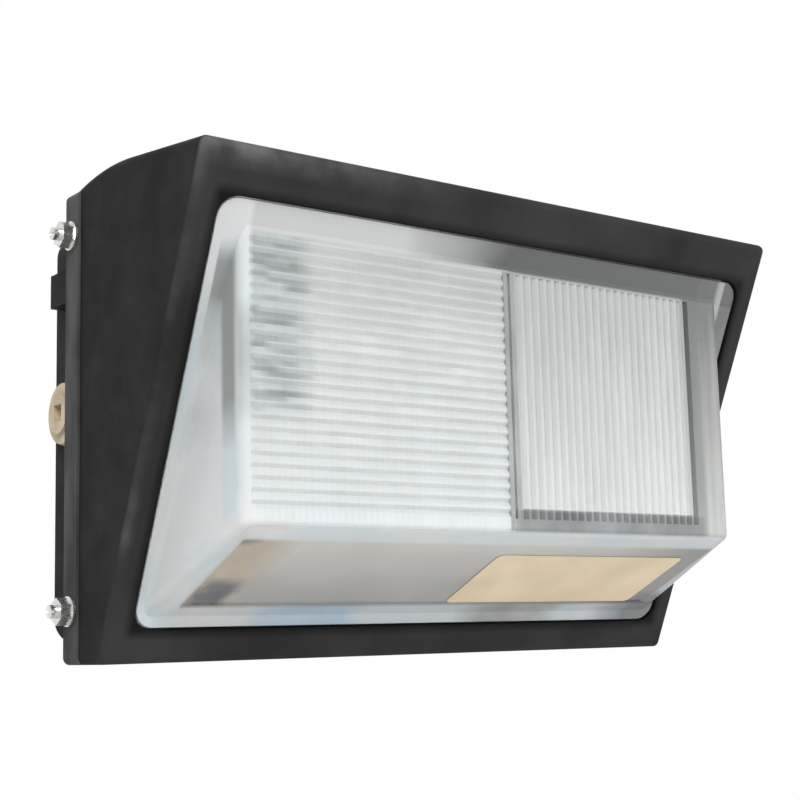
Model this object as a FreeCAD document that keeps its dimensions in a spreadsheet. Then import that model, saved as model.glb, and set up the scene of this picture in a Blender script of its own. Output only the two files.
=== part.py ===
# Outdoor wall light: a cast hood with a prismatic glass refractor, hinged on a shallow back housing.
# Frame: the wall is the plane y = 0, the light faces -Y, +X is to the viewer's right, +Z is up,
# and the origin is the centre of the wire entry in the wall face. All sizes are in millimetres.
import FreeCAD, Part
import os
import re
import Sketcher

SIZES = {
    # Hood casting
    "hood_width": 412, "hood_height": 255, "hood_wall": 3.2, "hood_round": 4,
    "brow_height": 251.5, "brow_depth": 148.7, "sill_depth": 38,
    "crown_depth": 75, "crown_height": 260.2, "crown_round": 180, "crown_lift": 4,
    "rim_depth": 15, "rim_proud": 1.5, "ledge_thick": 4, "ledge_width": 15,
    "window_side": 15.5, "window_sill": 18.5, "window_height": 229, "window_round": 12,
    "window_edge_round": 1.2,
    # Back housing casting
    "hood_reach": 38, "housing_inset": 11, "housing_wall": 5, "housing_back": 4, "housing_round": 14,
    "seat_depth": 13, "seal_thick": 1.8,
    "side_lug_height": 80, "side_lug_tall": 19, "side_lug_wide": 20, "side_lug_out": 8,
    "wire_entry_radius": 11.1,
    "box_screw_spacing": 88.9, "box_hole_radius": 2.75,
    "lag_spacing_wide": 300, "lag_spacing_tall": 170, "lag_hole_radius": 3.5,
    # Hood hinge on the right
    "hinge_out": 8, "knuckle_radius": 5, "knuckle_length": 14, "knuckle_gap": 0.3,
    "hinge_pin_radius": 2.5, "pin_clearance": 0.05, "press_gap": 0.01,
    "pin_head_radius": 4, "pin_head_thick": 2,
    "hinge_top_inset": 45, "hinge_bottom_inset": 45, "hinge_arm_thick": 6, "hinge_arm_gap": 1,
    # Hood screws on the left
    "screw_top_inset": 23.5, "screw_bottom_inset": 28, "screw_depth": 8, "screw_radius": 3,
    "screw_head_flats": 12.7, "screw_head_thick": 6.2, "screw_nose_radius": 3.5, "screw_nose_length": 4,
    "screw_slot_wide": 1.4, "screw_slot_deep": 1.5, "screw_end": 2,
    "screw_slot_gap": 0.6, "screw_washer_radius": 8, "screw_washer_thick": 1.5, "screw_seat_gap": 0.3,
    "screw_lug_tall": 16, "screw_lug_gap": 1,
    # Conduit plugs
    "conduit_radius": 10.5, "conduit_depth": 19, "conduit_height": 10, "plug_clearance": 0.1,
    "plug_collar_radius": 18, "plug_collar_thick": 4, "plug_boss_radius": 11.5, "plug_boss_thick": 2.5,
    "plug_socket_wide": 9.5, "plug_socket_deep": 4, "plug_shank_length": 9, "plug_seal_thick": 1.5,
    # Glass refractor, its gasket and clips
    "glass_crest": 3, "glass_break_height": 65, "glass_front_width": 350, "glass_wall": 5,
    "glass_round": 6, "glass_window_gap": 1, "glass_foot_inset": 3.2, "glass_rim_sink": 1.5,
    "flange_wide": 6, "flange_thick": 5, "flange_round": 14, "gasket_thick": 2,
    "prism_pitch": 6, "prism_deep": 1.2, "prism_land": 0.5, "prism_foot": 8, "prism_head": 10.5,
    "prism_margin": 4, "flute_margin": 25, "seam_wide": 8, "seam_groove_wide": 2, "seam_groove_deep": 1.5,
    "clip_out": 100, "clip_wide": 14, "clip_thick": 1.6, "clip_hold": 4.5,
    "clip_boss_radius": 3.5, "clip_boss_out": 10, "clip_screw_radius": 1.9, "clip_screw_clearance": 0.1,
    # Reflector
    "reflector_wide": 300, "reflector_thick": 1.2, "reflector_back": 58, "reflector_bend": 40,
    "reflector_low_depth": 66, "reflector_low_height": 22, "reflector_kick_height": 45,
    "reflector_fold_height": 168, "reflector_top_depth": 150, "reflector_top_height": 232,
    "post_radius": 5, "post_out": 140, "post_low_height": 55, "post_high_height": 130,
    "small_screw_radius": 2, "small_head_radius": 4, "small_head_thick": 2.4, "small_screw_length": 12,
    "small_screw_clearance": 0.1, "screw_end_gap": 1,
    # Lamp and socket
    "lamp_depth": 100, "lamp_height": -10, "bulb_radius": 28.5, "bulb_length": 225,
    "bulb_wall": 1.2, "neck_radius": 15, "neck_length": 38, "shoulder_length": 17, "stem_radius": 4,
    "stem_length": 8, "stem_plate": 4, "base_radius": 19.5, "base_length": 34, "base_taper": 4,
    "base_button_radius": 8, "base_button_length": 3,
    "arc_tube_radius": 4.5, "arc_tube_length": 100, "arc_tube_start": 36, "lead_radius": 0.9,
    "socket_radius": 25, "socket_mouth": 2, "socket_floor": 5.5, "shell_thick": 0.9, "shell_recess": 1,
    "socket_clearance": 0.05,
    "contact_radius": 5, "contact_gap": 0.3, "contact_thick": 1.6,
    "bracket_thick": 1.6, "bracket_foot": 24, "bracket_end": 10, "bracket_nose": 27, "bracket_round": 8,
    "socket_screw_out": 17,
    # Ballast
    "ballast_drop": 61.5, "core_wide": 92, "core_tall": 74, "core_stack": 40, "core_standoff": 14,
    "limb_half": 16, "core_window_wide": 16, "core_window_tall": 46, "coil_gap": 0.5, "coil_bulge": 8,
    "coil_tall": 21, "coil_spacing": 24, "coil_round": 6, "core_hole_inset": 7,
    "core_screw_radius": 2.5, "core_screw_head": 4.5,
    # Capacitor, ignitor, terminals and ground screw
    "can_middle": -83, "can_length": 70, "can_height": 65.5, "can_tall": 50, "can_thick": 32,
    "can_round": 15, "can_terminal_radius": 3, "can_terminal_length": 7,
    "strap_wide": 16, "strap_thick": 1.2, "strap_foot": 14,
    "ignitor_middle": 82, "ignitor_height": 51.5, "ignitor_wide": 44, "ignitor_tall": 34,
    "ignitor_thick": 28, "ignitor_round": 3, "ignitor_tab": 14, "ignitor_tab_thick": 2,
    "terminal_height": 73.5, "terminal_wide": 44, "terminal_tall": 16, "terminal_thick": 16,
    "terminal_hole_radius": 2.6,
    "ground_out": 38, "ground_height": 87.5, "ground_head_radius": 5,
    "ground_head_thick": 3.5, "pad_radius": 6, "pad_thick": 3,
}

doc = FreeCAD.newDocument("wall_light")
sheet = doc.addObject("Spreadsheet::Sheet", "Sizes")
for row, (size_name, size) in enumerate(SIZES.items(), 1):
    sheet.set(f"A{row}", size_name)
    sheet.set(f"B{row}", str(size))
    sheet.setAlias(f"B{row}", size_name)
doc.recompute()


# Formulas of sizes

def formula(text):
    """Point each size name in a formula at its cell of the sheet."""
    return re.sub(r"[a-z_]+", lambda word: ("Sizes." if word.group() in SIZES else "") + word.group(), text)


def number(text):
    """Present value of a formula."""
    result = sheet.evalExpression(formula(text))
    return float(getattr(result, "Value", result))


HOOD_BOTTOM = "-hood_height / 2"
HOOD_SIDE = "hood_width / 2"
FASCIA_LEAN = "atan((brow_depth - sill_depth) / brow_height)"
FLANGE_FRONT = "(hood_wall + gasket_thick)"
FLANGE_BACK = f"({FLANGE_FRONT} + flange_thick)"
CLIP_ROWS = {
    "low": ("-1", "(window_sill - clip_boss_out)"),
    "high": ("1", "(window_sill + window_height + clip_boss_out)"),
}
# A window too tall for the brow lifts it, up the same slope, until the upper clips have room behind it
BROW_HEIGHT = (f"max(brow_height; ({CLIP_ROWS['high'][1]} + clip_boss_radius) * cos({FASCIA_LEAN})"
               f" + ({FLANGE_BACK} + clip_thick) * sin({FASCIA_LEAN}) + 1.5 * hood_wall)")
BROW_DEPTH = f"(sill_depth + {BROW_HEIGHT} * tan({FASCIA_LEAN}))"
HOUSING_HALF = "(hood_width / 2 - housing_inset)"
HOUSING_HALF_TALL = "(hood_height / 2 - housing_inset)"
HOUSING_FRONT = "(hood_reach + seat_depth)"
HINGE_X = "(hood_width / 2 + hinge_out)"
SCREW_HEIGHTS = {
    "upper": "(hood_height / 2 - screw_top_inset)",
    "lower": "(screw_bottom_inset - hood_height / 2)",
}
HINGE_HEIGHTS = {
    "upper": "(hood_height / 2 - hinge_top_inset)",
    "lower": "(hinge_bottom_inset - hood_height / 2)",
}
SIDES = {"left": "-1", "right": "1"}


def on_slope(along, out):
    """Y and Z of a point of the fascia's frame: along the slope from the sill, and out of the fascia."""
    y = f"-(hood_reach + sill_depth) - ({along}) * sin({FASCIA_LEAN}) - ({out}) * cos({FASCIA_LEAN})"
    z = f"{HOOD_BOTTOM} + ({along}) * cos({FASCIA_LEAN}) - ({out}) * sin({FASCIA_LEAN})"
    return y, z


# Sketches and features

def new_body(name, several=False):
    body = doc.addObject("PartDesign::Body", name)
    body.Label = name
    body.AllowCompound = several
    return body


def new_sketch(body, name, role, lift="0", up="0", lean=None):
    """Sketch on an origin plane of its body, lifted along the plane's normal and leant about its X axis."""
    sketch = body.newObject("Sketcher::SketchObject", f"{body.Label}_{name}")
    plane = next(feature for feature in body.Origin.OriginFeatures if feature.Role == role)
    sketch.AttachmentSupport = (plane, [""])
    sketch.MapMode = "FlatFace"
    if lean:
        turn = FreeCAD.Rotation(FreeCAD.Vector(1, 0, 0), number(lean))
        sketch.AttachmentOffset = FreeCAD.Placement(FreeCAD.Vector(), turn)
        sketch.setExpression("AttachmentOffset.Rotation.Angle", formula(lean))
    sketch.setExpression("AttachmentOffset.Base.y", formula(up))
    sketch.setExpression("AttachmentOffset.Base.z", formula(lift))
    return sketch


def fascia_sketch(body, name, out):
    """Sketch parallel to the fascia, its origin at the middle of the sill, at a height out of the fascia."""
    y, z = on_slope("0", out)
    return new_sketch(body, name, "XZ_Plane", f"-({y})", z, FASCIA_LEAN)


def tie(sketch, kind, owner, point, text):
    """Hold one coordinate of a sketch point at a formula."""
    index = sketch.addConstraint(Sketcher.Constraint(kind, -1, 1, owner, point, number(text)))
    sketch.setExpression(f"Constraints[{index}]", formula(text))


def tie_radius(sketch, owner, text):
    index = sketch.addConstraint(Sketcher.Constraint("Radius", owner, number(text)))
    sketch.setExpression(f"Constraints[{index}]", formula(text))


def arc_between(start, end, radius):
    """Arc of under a half circle with its centre on the left of the way from start to end."""
    half = (end - start) * 0.5
    left = FreeCAD.Vector(-half.y, half.x, 0).normalize()
    centre = start + half + left * max(radius ** 2 - half.Length ** 2, 0.0) ** 0.5
    return Part.Arc(start, centre - left * radius, end)


def draw(sketch, points):
    """Closed outline: each point is (x, y), or (x, y, radius) where an arc runs to the next point.
    The arc's centre is on the left of the way, or on the right where the radius starts with a minus."""
    corners = [FreeCAD.Vector(number(point[0]), number(point[1]), 0) for point in points]
    starts, ends = [], []
    for index, point in enumerate(points):
        here, there = corners[index], corners[(index + 1) % len(points)]
        radius = point[2] if len(point) > 2 else None
        if radius is None:
            edge = sketch.addGeometry(Part.LineSegment(here, there), False)
            starts.append((edge, 1))
            ends.append((edge, 2))
        elif radius.startswith("-"):
            edge = sketch.addGeometry(arc_between(there, here, number(radius[1:])), False)
            starts.append((edge, 2))
            ends.append((edge, 1))
        else:
            edge = sketch.addGeometry(arc_between(here, there, number(radius)), False)
            starts.append((edge, 1))
            ends.append((edge, 2))
    for index, point in enumerate(points):
        sketch.addConstraint(Sketcher.Constraint("Coincident", *ends[index - 1], *starts[index]))
        tie(sketch, "DistanceX", *starts[index], point[0])
        tie(sketch, "DistanceY", *starts[index], point[1])
        if len(point) > 2:
            tie_radius(sketch, starts[index][0], point[2].lstrip("-"))


def rectangle(sketch, left, right, low, high):
    draw(sketch, [(left, low), (right, low), (right, high), (left, high)])


def rounded(sketch, left, right, low, high, radius):
    draw(sketch, [
        (f"{left} + {radius}", low), (f"{right} - {radius}", low, radius),
        (right, f"{low} + {radius}"), (right, f"{high} - {radius}", radius),
        (f"{right} - {radius}", high), (f"{left} + {radius}", high, radius),
        (left, f"{high} - {radius}"), (left, f"{low} + {radius}", radius)])


def circle(sketch, x, y, radius):
    centre = FreeCAD.Vector(number(x), number(y), 0)
    edge = sketch.addGeometry(Part.Circle(centre, FreeCAD.Vector(0, 0, 1), number(radius)), False)
    tie(sketch, "DistanceX", edge, 3, x)
    tie(sketch, "DistanceY", edge, 3, y)
    tie_radius(sketch, edge, radius)


def extrude(kind, body, sketch, length, reverse=False, both=False):
    feature = body.newObject(f"PartDesign::{kind}", f"{sketch.Name}_{kind.lower()}")
    feature.Profile = sketch
    feature.Reversed = reverse
    feature.SideType = "Symmetric" if both else "One side"
    feature.setExpression("Length", formula(length))
    return feature


def pad(body, sketch, length, **options):
    return extrude("Pad", body, sketch, length, **options)


def pocket(body, sketch, length, **options):
    return extrude("Pocket", body, sketch, length, **options)


def revolve(body, sketch, axis_role):
    feature = body.newObject("PartDesign::Revolution", f"{sketch.Name}_revolution")
    feature.Profile = sketch
    axis = next(line for line in body.Origin.OriginFeatures if line.Role == axis_role)
    feature.ReferenceAxis = (axis, [""])
    feature.Angle = 360
    return feature


def repeat(body, original, axis_role, pitch, count, reverse=False):
    feature = body.newObject("PartDesign::LinearPattern", f"{original.Name}_row")
    feature.Originals = [original]
    axis = next(line for line in body.Origin.OriginFeatures if line.Role == axis_role)
    feature.Direction = (axis, [""])
    feature.Reversed = reverse
    feature.Mode = "Spacing"
    feature.setExpression("Offset", formula(pitch))
    feature.setExpression("Occurrences", formula(count))
    body.Tip = feature
    return feature


def round_edges(body, radius, chosen):
    """Fillet the edges of the body's present shape that the test picks."""
    doc.recompute()
    base = body.Tip
    edges = [f"Edge{index}" for index, edge in enumerate(base.Shape.Edges, 1) if chosen(edge.BoundBox)]
    feature = body.newObject("PartDesign::Fillet", f"{base.Name}_round")
    feature.Base = (base, edges)
    feature.setExpression("Radius", formula(radius))
    return feature


# Placed primitives, for fasteners and other plain pieces

def place(item, x, y, z, axis=(1, 0, 0), angle="0"):
    item.Placement = FreeCAD.Placement(FreeCAD.Vector(), FreeCAD.Rotation(FreeCAD.Vector(*axis), 1))
    for name, text in (("Base.x", x), ("Base.y", y), ("Base.z", z), ("Rotation.Angle", angle)):
        item.setExpression(f"Placement.{name}", formula(text))
    return item


def primitive(kind, name, **sizes):
    item = doc.addObject(f"Part::{kind}", name)
    for size_property, text in sizes.items():
        item.setExpression(size_property, formula(text))
    return item


def cylinder(name, radius, height, lift="0"):
    item = primitive("Cylinder", name, Radius=radius, Height=height)
    item.setExpression("Placement.Base.z", formula(lift))
    return item


def hexagon(name, flats, height, lift="0"):
    item = primitive("Prism", name, Circumradius=f"{flats} / 2 / cos(30)", Height=height)
    item.Polygon = 6
    item.setExpression("Placement.Base.z", formula(lift))
    return item


def fuse(name, members):
    item = doc.addObject("Part::MultiFuse", name)
    item.Shapes = members
    return item


def cut(name, base, tool):
    item = doc.addObject("Part::Cut", name)
    item.Base, item.Tool = base, tool
    return item


def group(label, members):
    item = doc.addObject("Part::Compound", label)
    item.Links = members
    item.Label = label
    return item


def small_screw(name, length="small_screw_length", radius="small_screw_radius", head="small_head_radius"):
    """Pan-head screw that points down its own Z axis, with the underside of its head at zero."""
    shank = cylinder(f"{name}_shank", radius, f"{length} + small_head_thick / 2", f"-({length})")
    cap = primitive("Cone", f"{name}_cap", Radius1=head, Radius2=f"{head} - small_head_thick / 2",
                    Height="small_head_thick")
    return fuse(name, [shank, cap])


# Castings

def build_hood():
    body = new_body("hood")
    side = new_sketch(body, "side_profile", "YZ_Plane")
    rear = "-hood_reach"
    draw(side, [
        (rear, HOOD_BOTTOM), (rear, f"{HOOD_BOTTOM} + hood_height", "crown_round"),
        (f"{rear} - crown_depth", f"{HOOD_BOTTOM} + crown_height"),
        (f"{rear} - {BROW_DEPTH}", f"{HOOD_BOTTOM} + {BROW_HEIGHT}"),
        (f"{rear} - sill_depth", HOOD_BOTTOM)])
    pad(body, side, "hood_width", both=True)
    rear_plane = number(rear)
    round_edges(body, "hood_round", lambda box: box.YMin < rear_plane - 1)

    rim = new_sketch(body, "rear_rim", "XZ_Plane", "hood_reach")
    rounded(rim, f"-{HOOD_SIDE} - rim_proud", f"{HOOD_SIDE} + rim_proud",
            HOOD_BOTTOM, f"{HOOD_BOTTOM} + hood_height + rim_proud", "hood_round")
    pad(body, rim, "rim_depth")

    front_cavity = new_sketch(body, "front_cavity", "YZ_Plane")
    ledge_front = f"{rear} - rim_depth - ledge_thick"
    inside_bottom = f"{HOOD_BOTTOM} + hood_wall"
    fascia_wall = f"hood_wall / cos({FASCIA_LEAN})"
    brow_inside = f"({BROW_HEIGHT} - 1.5 * hood_wall)"
    draw(front_cavity, [
        (ledge_front, inside_bottom),
        (ledge_front, f"{HOOD_BOTTOM} + hood_height - hood_wall + crown_lift", "crown_round - hood_wall"),
        (f"{rear} - crown_depth", f"{HOOD_BOTTOM} + crown_height - hood_wall"),
        (f"{rear} - sill_depth - {brow_inside} * tan({FASCIA_LEAN}) + {fascia_wall}",
         f"{HOOD_BOTTOM} + {brow_inside}"),
        (f"{rear} - sill_depth - hood_wall * tan({FASCIA_LEAN}) + {fascia_wall}", inside_bottom)])
    pocket(body, front_cavity, "hood_width - 2 * hood_wall", both=True)

    rim_cavity = new_sketch(body, "rim_cavity", "XZ_Plane", "hood_reach")
    rectangle(rim_cavity, f"-{HOOD_SIDE} + hood_wall", f"{HOOD_SIDE} - hood_wall", inside_bottom,
              f"{HOOD_BOTTOM} + hood_height - hood_wall")
    pocket(body, rim_cavity, "rim_depth", reverse=True)

    ledge_window = new_sketch(body, "ledge_window", "XZ_Plane", "hood_reach")
    ledge_side = f"{HOOD_SIDE} - hood_wall - ledge_width"
    rounded(ledge_window, f"-({ledge_side})", ledge_side, f"{inside_bottom} + ledge_width",
            f"{HOOD_BOTTOM} + hood_height - hood_wall - ledge_width", "housing_round")
    pocket(body, ledge_window, "rim_depth + ledge_thick + hood_wall", reverse=True)

    window = fascia_sketch(body, "window", "0")
    rounded(window, f"-{HOOD_SIDE} + window_side", f"{HOOD_SIDE} - window_side",
            "window_sill", "window_sill + window_height", "window_round")
    pocket(body, window, "3 * hood_wall", both=True)
    sill, bottom, slope = number(f"{rear} - sill_depth"), number(HOOD_BOTTOM), number(f"tan({FASCIA_LEAN})")
    beside_window = number(f"{HOOD_SIDE} - window_side / 2")

    def on_window_edge(box):
        fascia = sill - (box.Center.z - bottom) * slope
        return abs(box.Center.y - fascia) < 0.01 and max(-box.XMin, box.XMax) < beside_window

    round_edges(body, "window_edge_round", on_window_edge)

    bosses = fascia_sketch(body, "clip_bosses", "-hood_wall / 2")
    pilots = fascia_sketch(body, "clip_pilots", f"-{FLANGE_BACK}")
    for side_sign in SIDES.values():
        for _, along in CLIP_ROWS.values():
            circle(bosses, f"{side_sign} * clip_out", along, "clip_boss_radius")
            circle(pilots, f"{side_sign} * clip_out", along, "clip_screw_radius + clip_screw_clearance")
    pad(body, bosses, f"{FLANGE_BACK} - hood_wall / 2", reverse=True)
    pocket(body, pilots, "gasket_thick + flange_thick", reverse=True)

    slots = new_sketch(body, "screw_slots", "YZ_Plane", f"-{HOOD_SIDE} + 2 * hood_wall")
    slot_half = "(screw_radius + screw_slot_gap)"
    for height in SCREW_HEIGHTS.values():
        draw(slots, [
            (f"{rear} + hood_wall", f"{height} - {slot_half}"),
            (f"{rear} + hood_wall", f"{height} + {slot_half}"),
            (f"{rear} - screw_depth", f"{height} + {slot_half}", f"{slot_half}"),
            (f"{rear} - screw_depth - {slot_half}", height, f"{slot_half}"),
            (f"{rear} - screw_depth", f"{height} - {slot_half}")])
    pocket(body, slots, "4 * hood_wall")

    for name, height in HINGE_HEIGHTS.items():
        arm = new_sketch(body, f"{name}_arm", "XY_Plane", f"{height} + knuckle_gap / 2")
        rectangle(arm, f"{HOOD_SIDE} - hood_wall / 2", HINGE_X, f"{rear} - knuckle_radius",
                  f"{rear} - hinge_arm_gap")
        pad(body, arm, "knuckle_length")
        knuckle = new_sketch(body, f"{name}_knuckle", "XY_Plane", f"{height} + knuckle_gap / 2")
        circle(knuckle, HINGE_X, rear, "knuckle_radius")
        pad(body, knuckle, "knuckle_length")
        bore = new_sketch(body, f"{name}_bore", "XY_Plane", f"{height} - knuckle_gap")
        circle(bore, HINGE_X, rear, "hinge_pin_radius + pin_clearance")
        pocket(body, bore, "knuckle_length + 3 * knuckle_gap", reverse=True)
    return body


def housing_outline(sketch, inset):
    """Rounded outline of the back housing, drawn in by an inset."""
    half, half_tall = f"({HOUSING_HALF} - {inset})", f"({HOUSING_HALF_TALL} - {inset})"
    rounded(sketch, f"-{half}", half, f"-{half_tall}", half_tall, f"(housing_round - {inset})")


def build_back_housing():
    body = new_body("back_housing")
    tray = new_sketch(body, "tray", "XZ_Plane")
    housing_outline(tray, "0")
    pad(body, tray, HOUSING_FRONT)
    hollow = new_sketch(body, "hollow", "XZ_Plane", "housing_back")
    housing_outline(hollow, "housing_wall")
    pocket(body, hollow, f"{HOUSING_FRONT}", reverse=True)

    lugs = new_sketch(body, "side_lugs", "XY_Plane", "side_lug_height - side_lug_tall / 2")
    for side_sign in SIDES.values():
        inner = f"{side_sign} * ({HOUSING_HALF} - housing_wall / 2)"
        outer = f"{side_sign} * ({HOUSING_HALF} + side_lug_out)"
        left, right = (outer, inner) if side_sign == "-1" else (inner, outer)
        rectangle(lugs, left, right, "-conduit_depth - side_lug_wide / 2",
                  "-conduit_depth + side_lug_wide / 2")
    pad(body, lugs, "side_lug_tall")

    for name, height in SCREW_HEIGHTS.items():
        lug = new_sketch(body, f"{name}_screw_lug", "YZ_Plane", f"-{HOUSING_HALF} + housing_wall / 2")
        rectangle(lug, f"-{HOUSING_FRONT} + screw_lug_gap", "-hood_reach - hinge_arm_gap",
                  f"{height} - screw_lug_tall / 2", f"{height} + screw_lug_tall / 2")
        pad(body, lug, "housing_wall / 2 + housing_inset - hood_wall - screw_lug_gap", reverse=True)
        thread = new_sketch(body, f"{name}_screw_hole", "YZ_Plane", f"-{HOUSING_HALF} + 2 * housing_wall")
        circle(thread, "-hood_reach - screw_depth", height, "screw_radius + pin_clearance")
        pocket(body, thread, "3 * housing_wall + housing_inset")

    posts = new_sketch(body, "posts", "XZ_Plane", "housing_back / 2")
    for side_sign in SIDES.values():
        for height in ("post_low_height", "post_high_height"):
            circle(posts, f"{side_sign} * post_out", f"{HOOD_BOTTOM} + {height}", "post_radius")
    pad(body, posts, "reflector_back - housing_back / 2")
    post_holes = new_sketch(body, "post_holes", "XZ_Plane", "reflector_back")
    for side_sign in SIDES.values():
        for height in ("post_low_height", "post_high_height"):
            circle(post_holes, f"{side_sign} * post_out", f"{HOOD_BOTTOM} + {height}",
                   "small_screw_radius + small_screw_clearance")
    pocket(body, post_holes, "small_screw_length")

    core_x = "(core_wide / 2 - core_hole_inset)"
    core_z = "(core_tall / 2 - core_hole_inset)"
    core_feet = new_sketch(body, "core_feet", "XZ_Plane", "housing_back / 2")
    core_holes = new_sketch(body, "core_holes", "XZ_Plane", "core_standoff")
    for side_sign in SIDES.values():
        for end_sign in ("-1", "1"):
            x, z = f"{side_sign} * {core_x}", f"{BALLAST_Z} + {end_sign} * {core_z}"
            circle(core_feet, x, z, "pad_radius")
            circle(core_holes, x, z, "core_screw_radius + small_screw_clearance")
    pad(body, core_feet, "core_standoff - housing_back / 2")
    pocket(body, core_holes, "core_standoff - housing_back")

    pads = new_sketch(body, "screw_pads", "XZ_Plane", "housing_back / 2")
    pad_holes = new_sketch(body, "screw_pad_holes", "XZ_Plane", "housing_back + pad_thick")
    for x, z in SCREW_PADS:
        circle(pads, x, z, "pad_radius")
        circle(pad_holes, x, z, "small_screw_radius + small_screw_clearance")
    pad(body, pads, "housing_back / 2 + pad_thick")
    pocket(body, pad_holes, "pad_thick + housing_back / 2")

    for side_sign in SIDES.values():
        entry = new_sketch(body, f"conduit_{'left' if side_sign == '-1' else 'right'}", "YZ_Plane",
                           f"{side_sign} * ({HOUSING_HALF} - housing_wall / 2)")
        circle(entry, "-conduit_depth", "conduit_height", "conduit_radius")
        pocket(body, entry, "2 * housing_wall", both=True)
    top_entry = new_sketch(body, "conduit_top", "XY_Plane", f"{HOUSING_HALF_TALL} - housing_wall / 2")
    circle(top_entry, "0", "-conduit_depth", "conduit_radius")
    pocket(body, top_entry, "2 * housing_wall", both=True)

    wall_holes = new_sketch(body, "wall_holes", "XZ_Plane", "-housing_back")
    circle(wall_holes, "0", "0", "wire_entry_radius")
    for side_sign in SIDES.values():
        circle(wall_holes, f"{side_sign} * box_screw_spacing / 2", "0", "box_hole_radius")
        for end_sign in ("-1", "1"):
            circle(wall_holes, f"{side_sign} * lag_spacing_wide / 2", f"{end_sign} * lag_spacing_tall / 2",
                   "lag_hole_radius")
    pocket(body, wall_holes, "3 * housing_back", reverse=True)

    for name, height in HINGE_HEIGHTS.items():
        low = f"{height} - knuckle_gap / 2 - knuckle_length"
        arm = new_sketch(body, f"{name}_arm", "XY_Plane", low)
        rectangle(arm, f"{HOUSING_HALF} - housing_wall / 2", HINGE_X, "-hood_reach + hinge_arm_gap",
                  "-hood_reach + hinge_arm_gap + hinge_arm_thick")
        pad(body, arm, "knuckle_length")
        knuckle = new_sketch(body, f"{name}_knuckle", "XY_Plane", low)
        circle(knuckle, HINGE_X, "-hood_reach", "knuckle_radius")
        pad(body, knuckle, "knuckle_length")
        bore = new_sketch(body, f"{name}_bore", "XY_Plane", f"{low} - knuckle_gap")
        circle(bore, HINGE_X, "-hood_reach", "hinge_pin_radius + press_gap")
        pocket(body, bore, "knuckle_length + 2 * knuckle_gap", reverse=True)
    return body


BALLAST_Z = "(hood_height / 2 - ballast_drop)"
CAN_Z = f"({HOOD_BOTTOM} + can_height)"
IGNITOR_Z = f"({HOOD_BOTTOM} + ignitor_height)"
TERMINAL_Z = f"({HOOD_BOTTOM} + terminal_height)"
GROUND_Z = f"({HOOD_BOTTOM} + ground_height)"
STRAP_FEET_Z = "(can_tall / 2 + strap_foot / 2)"
SCREW_PADS = [
    ("can_middle", f"{CAN_Z} + {STRAP_FEET_Z}"),
    ("can_middle", f"{CAN_Z} - {STRAP_FEET_Z}"),
    ("ignitor_middle - ignitor_wide / 2 - ignitor_tab / 2", IGNITOR_Z),
    ("ground_out", GROUND_Z),
]


# Glass refractor and what holds it in the hood

WINDOW_HALF = "(hood_width / 2 - window_side)"
GLASS_FOOT = f"((window_sill + glass_foot_inset) * cos({FASCIA_LEAN}))"
GLASS_HEAD = f"((window_sill + window_height - glass_foot_inset) * cos({FASCIA_LEAN}))"


def flange_middle(height):
    """Y of the middle of the glass flange at a height over the hood's bottom."""
    back_off = f"({FLANGE_FRONT} + flange_thick / 2) / cos({FASCIA_LEAN})"
    return f"(-(hood_reach + sill_depth) - ({height}) * tan({FASCIA_LEAN}) + {back_off})"


GLASS_FRONT = f"({flange_middle(GLASS_HEAD)} - glass_crest)"
UNDERSIDE_LEAN = (f"atan((glass_break_height - {GLASS_FOOT})"
                  f" / ({flange_middle(GLASS_FOOT)} - {GLASS_FRONT}))")


def flange_outline(sketch):
    rounded(sketch, f"-{WINDOW_HALF} - flange_wide", f"{WINDOW_HALF} + flange_wide",
            "window_sill - flange_wide", "window_sill + window_height + flange_wide", "flange_round")


def window_outline(sketch, inset):
    """Outline of the window in the fascia, drawn in by an inset."""
    half = f"({WINDOW_HALF} - {inset})"
    rounded(sketch, f"-{half}", half, f"(window_sill + {inset})", f"(window_sill + window_height - {inset})",
            f"(window_round - {inset})")


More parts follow.
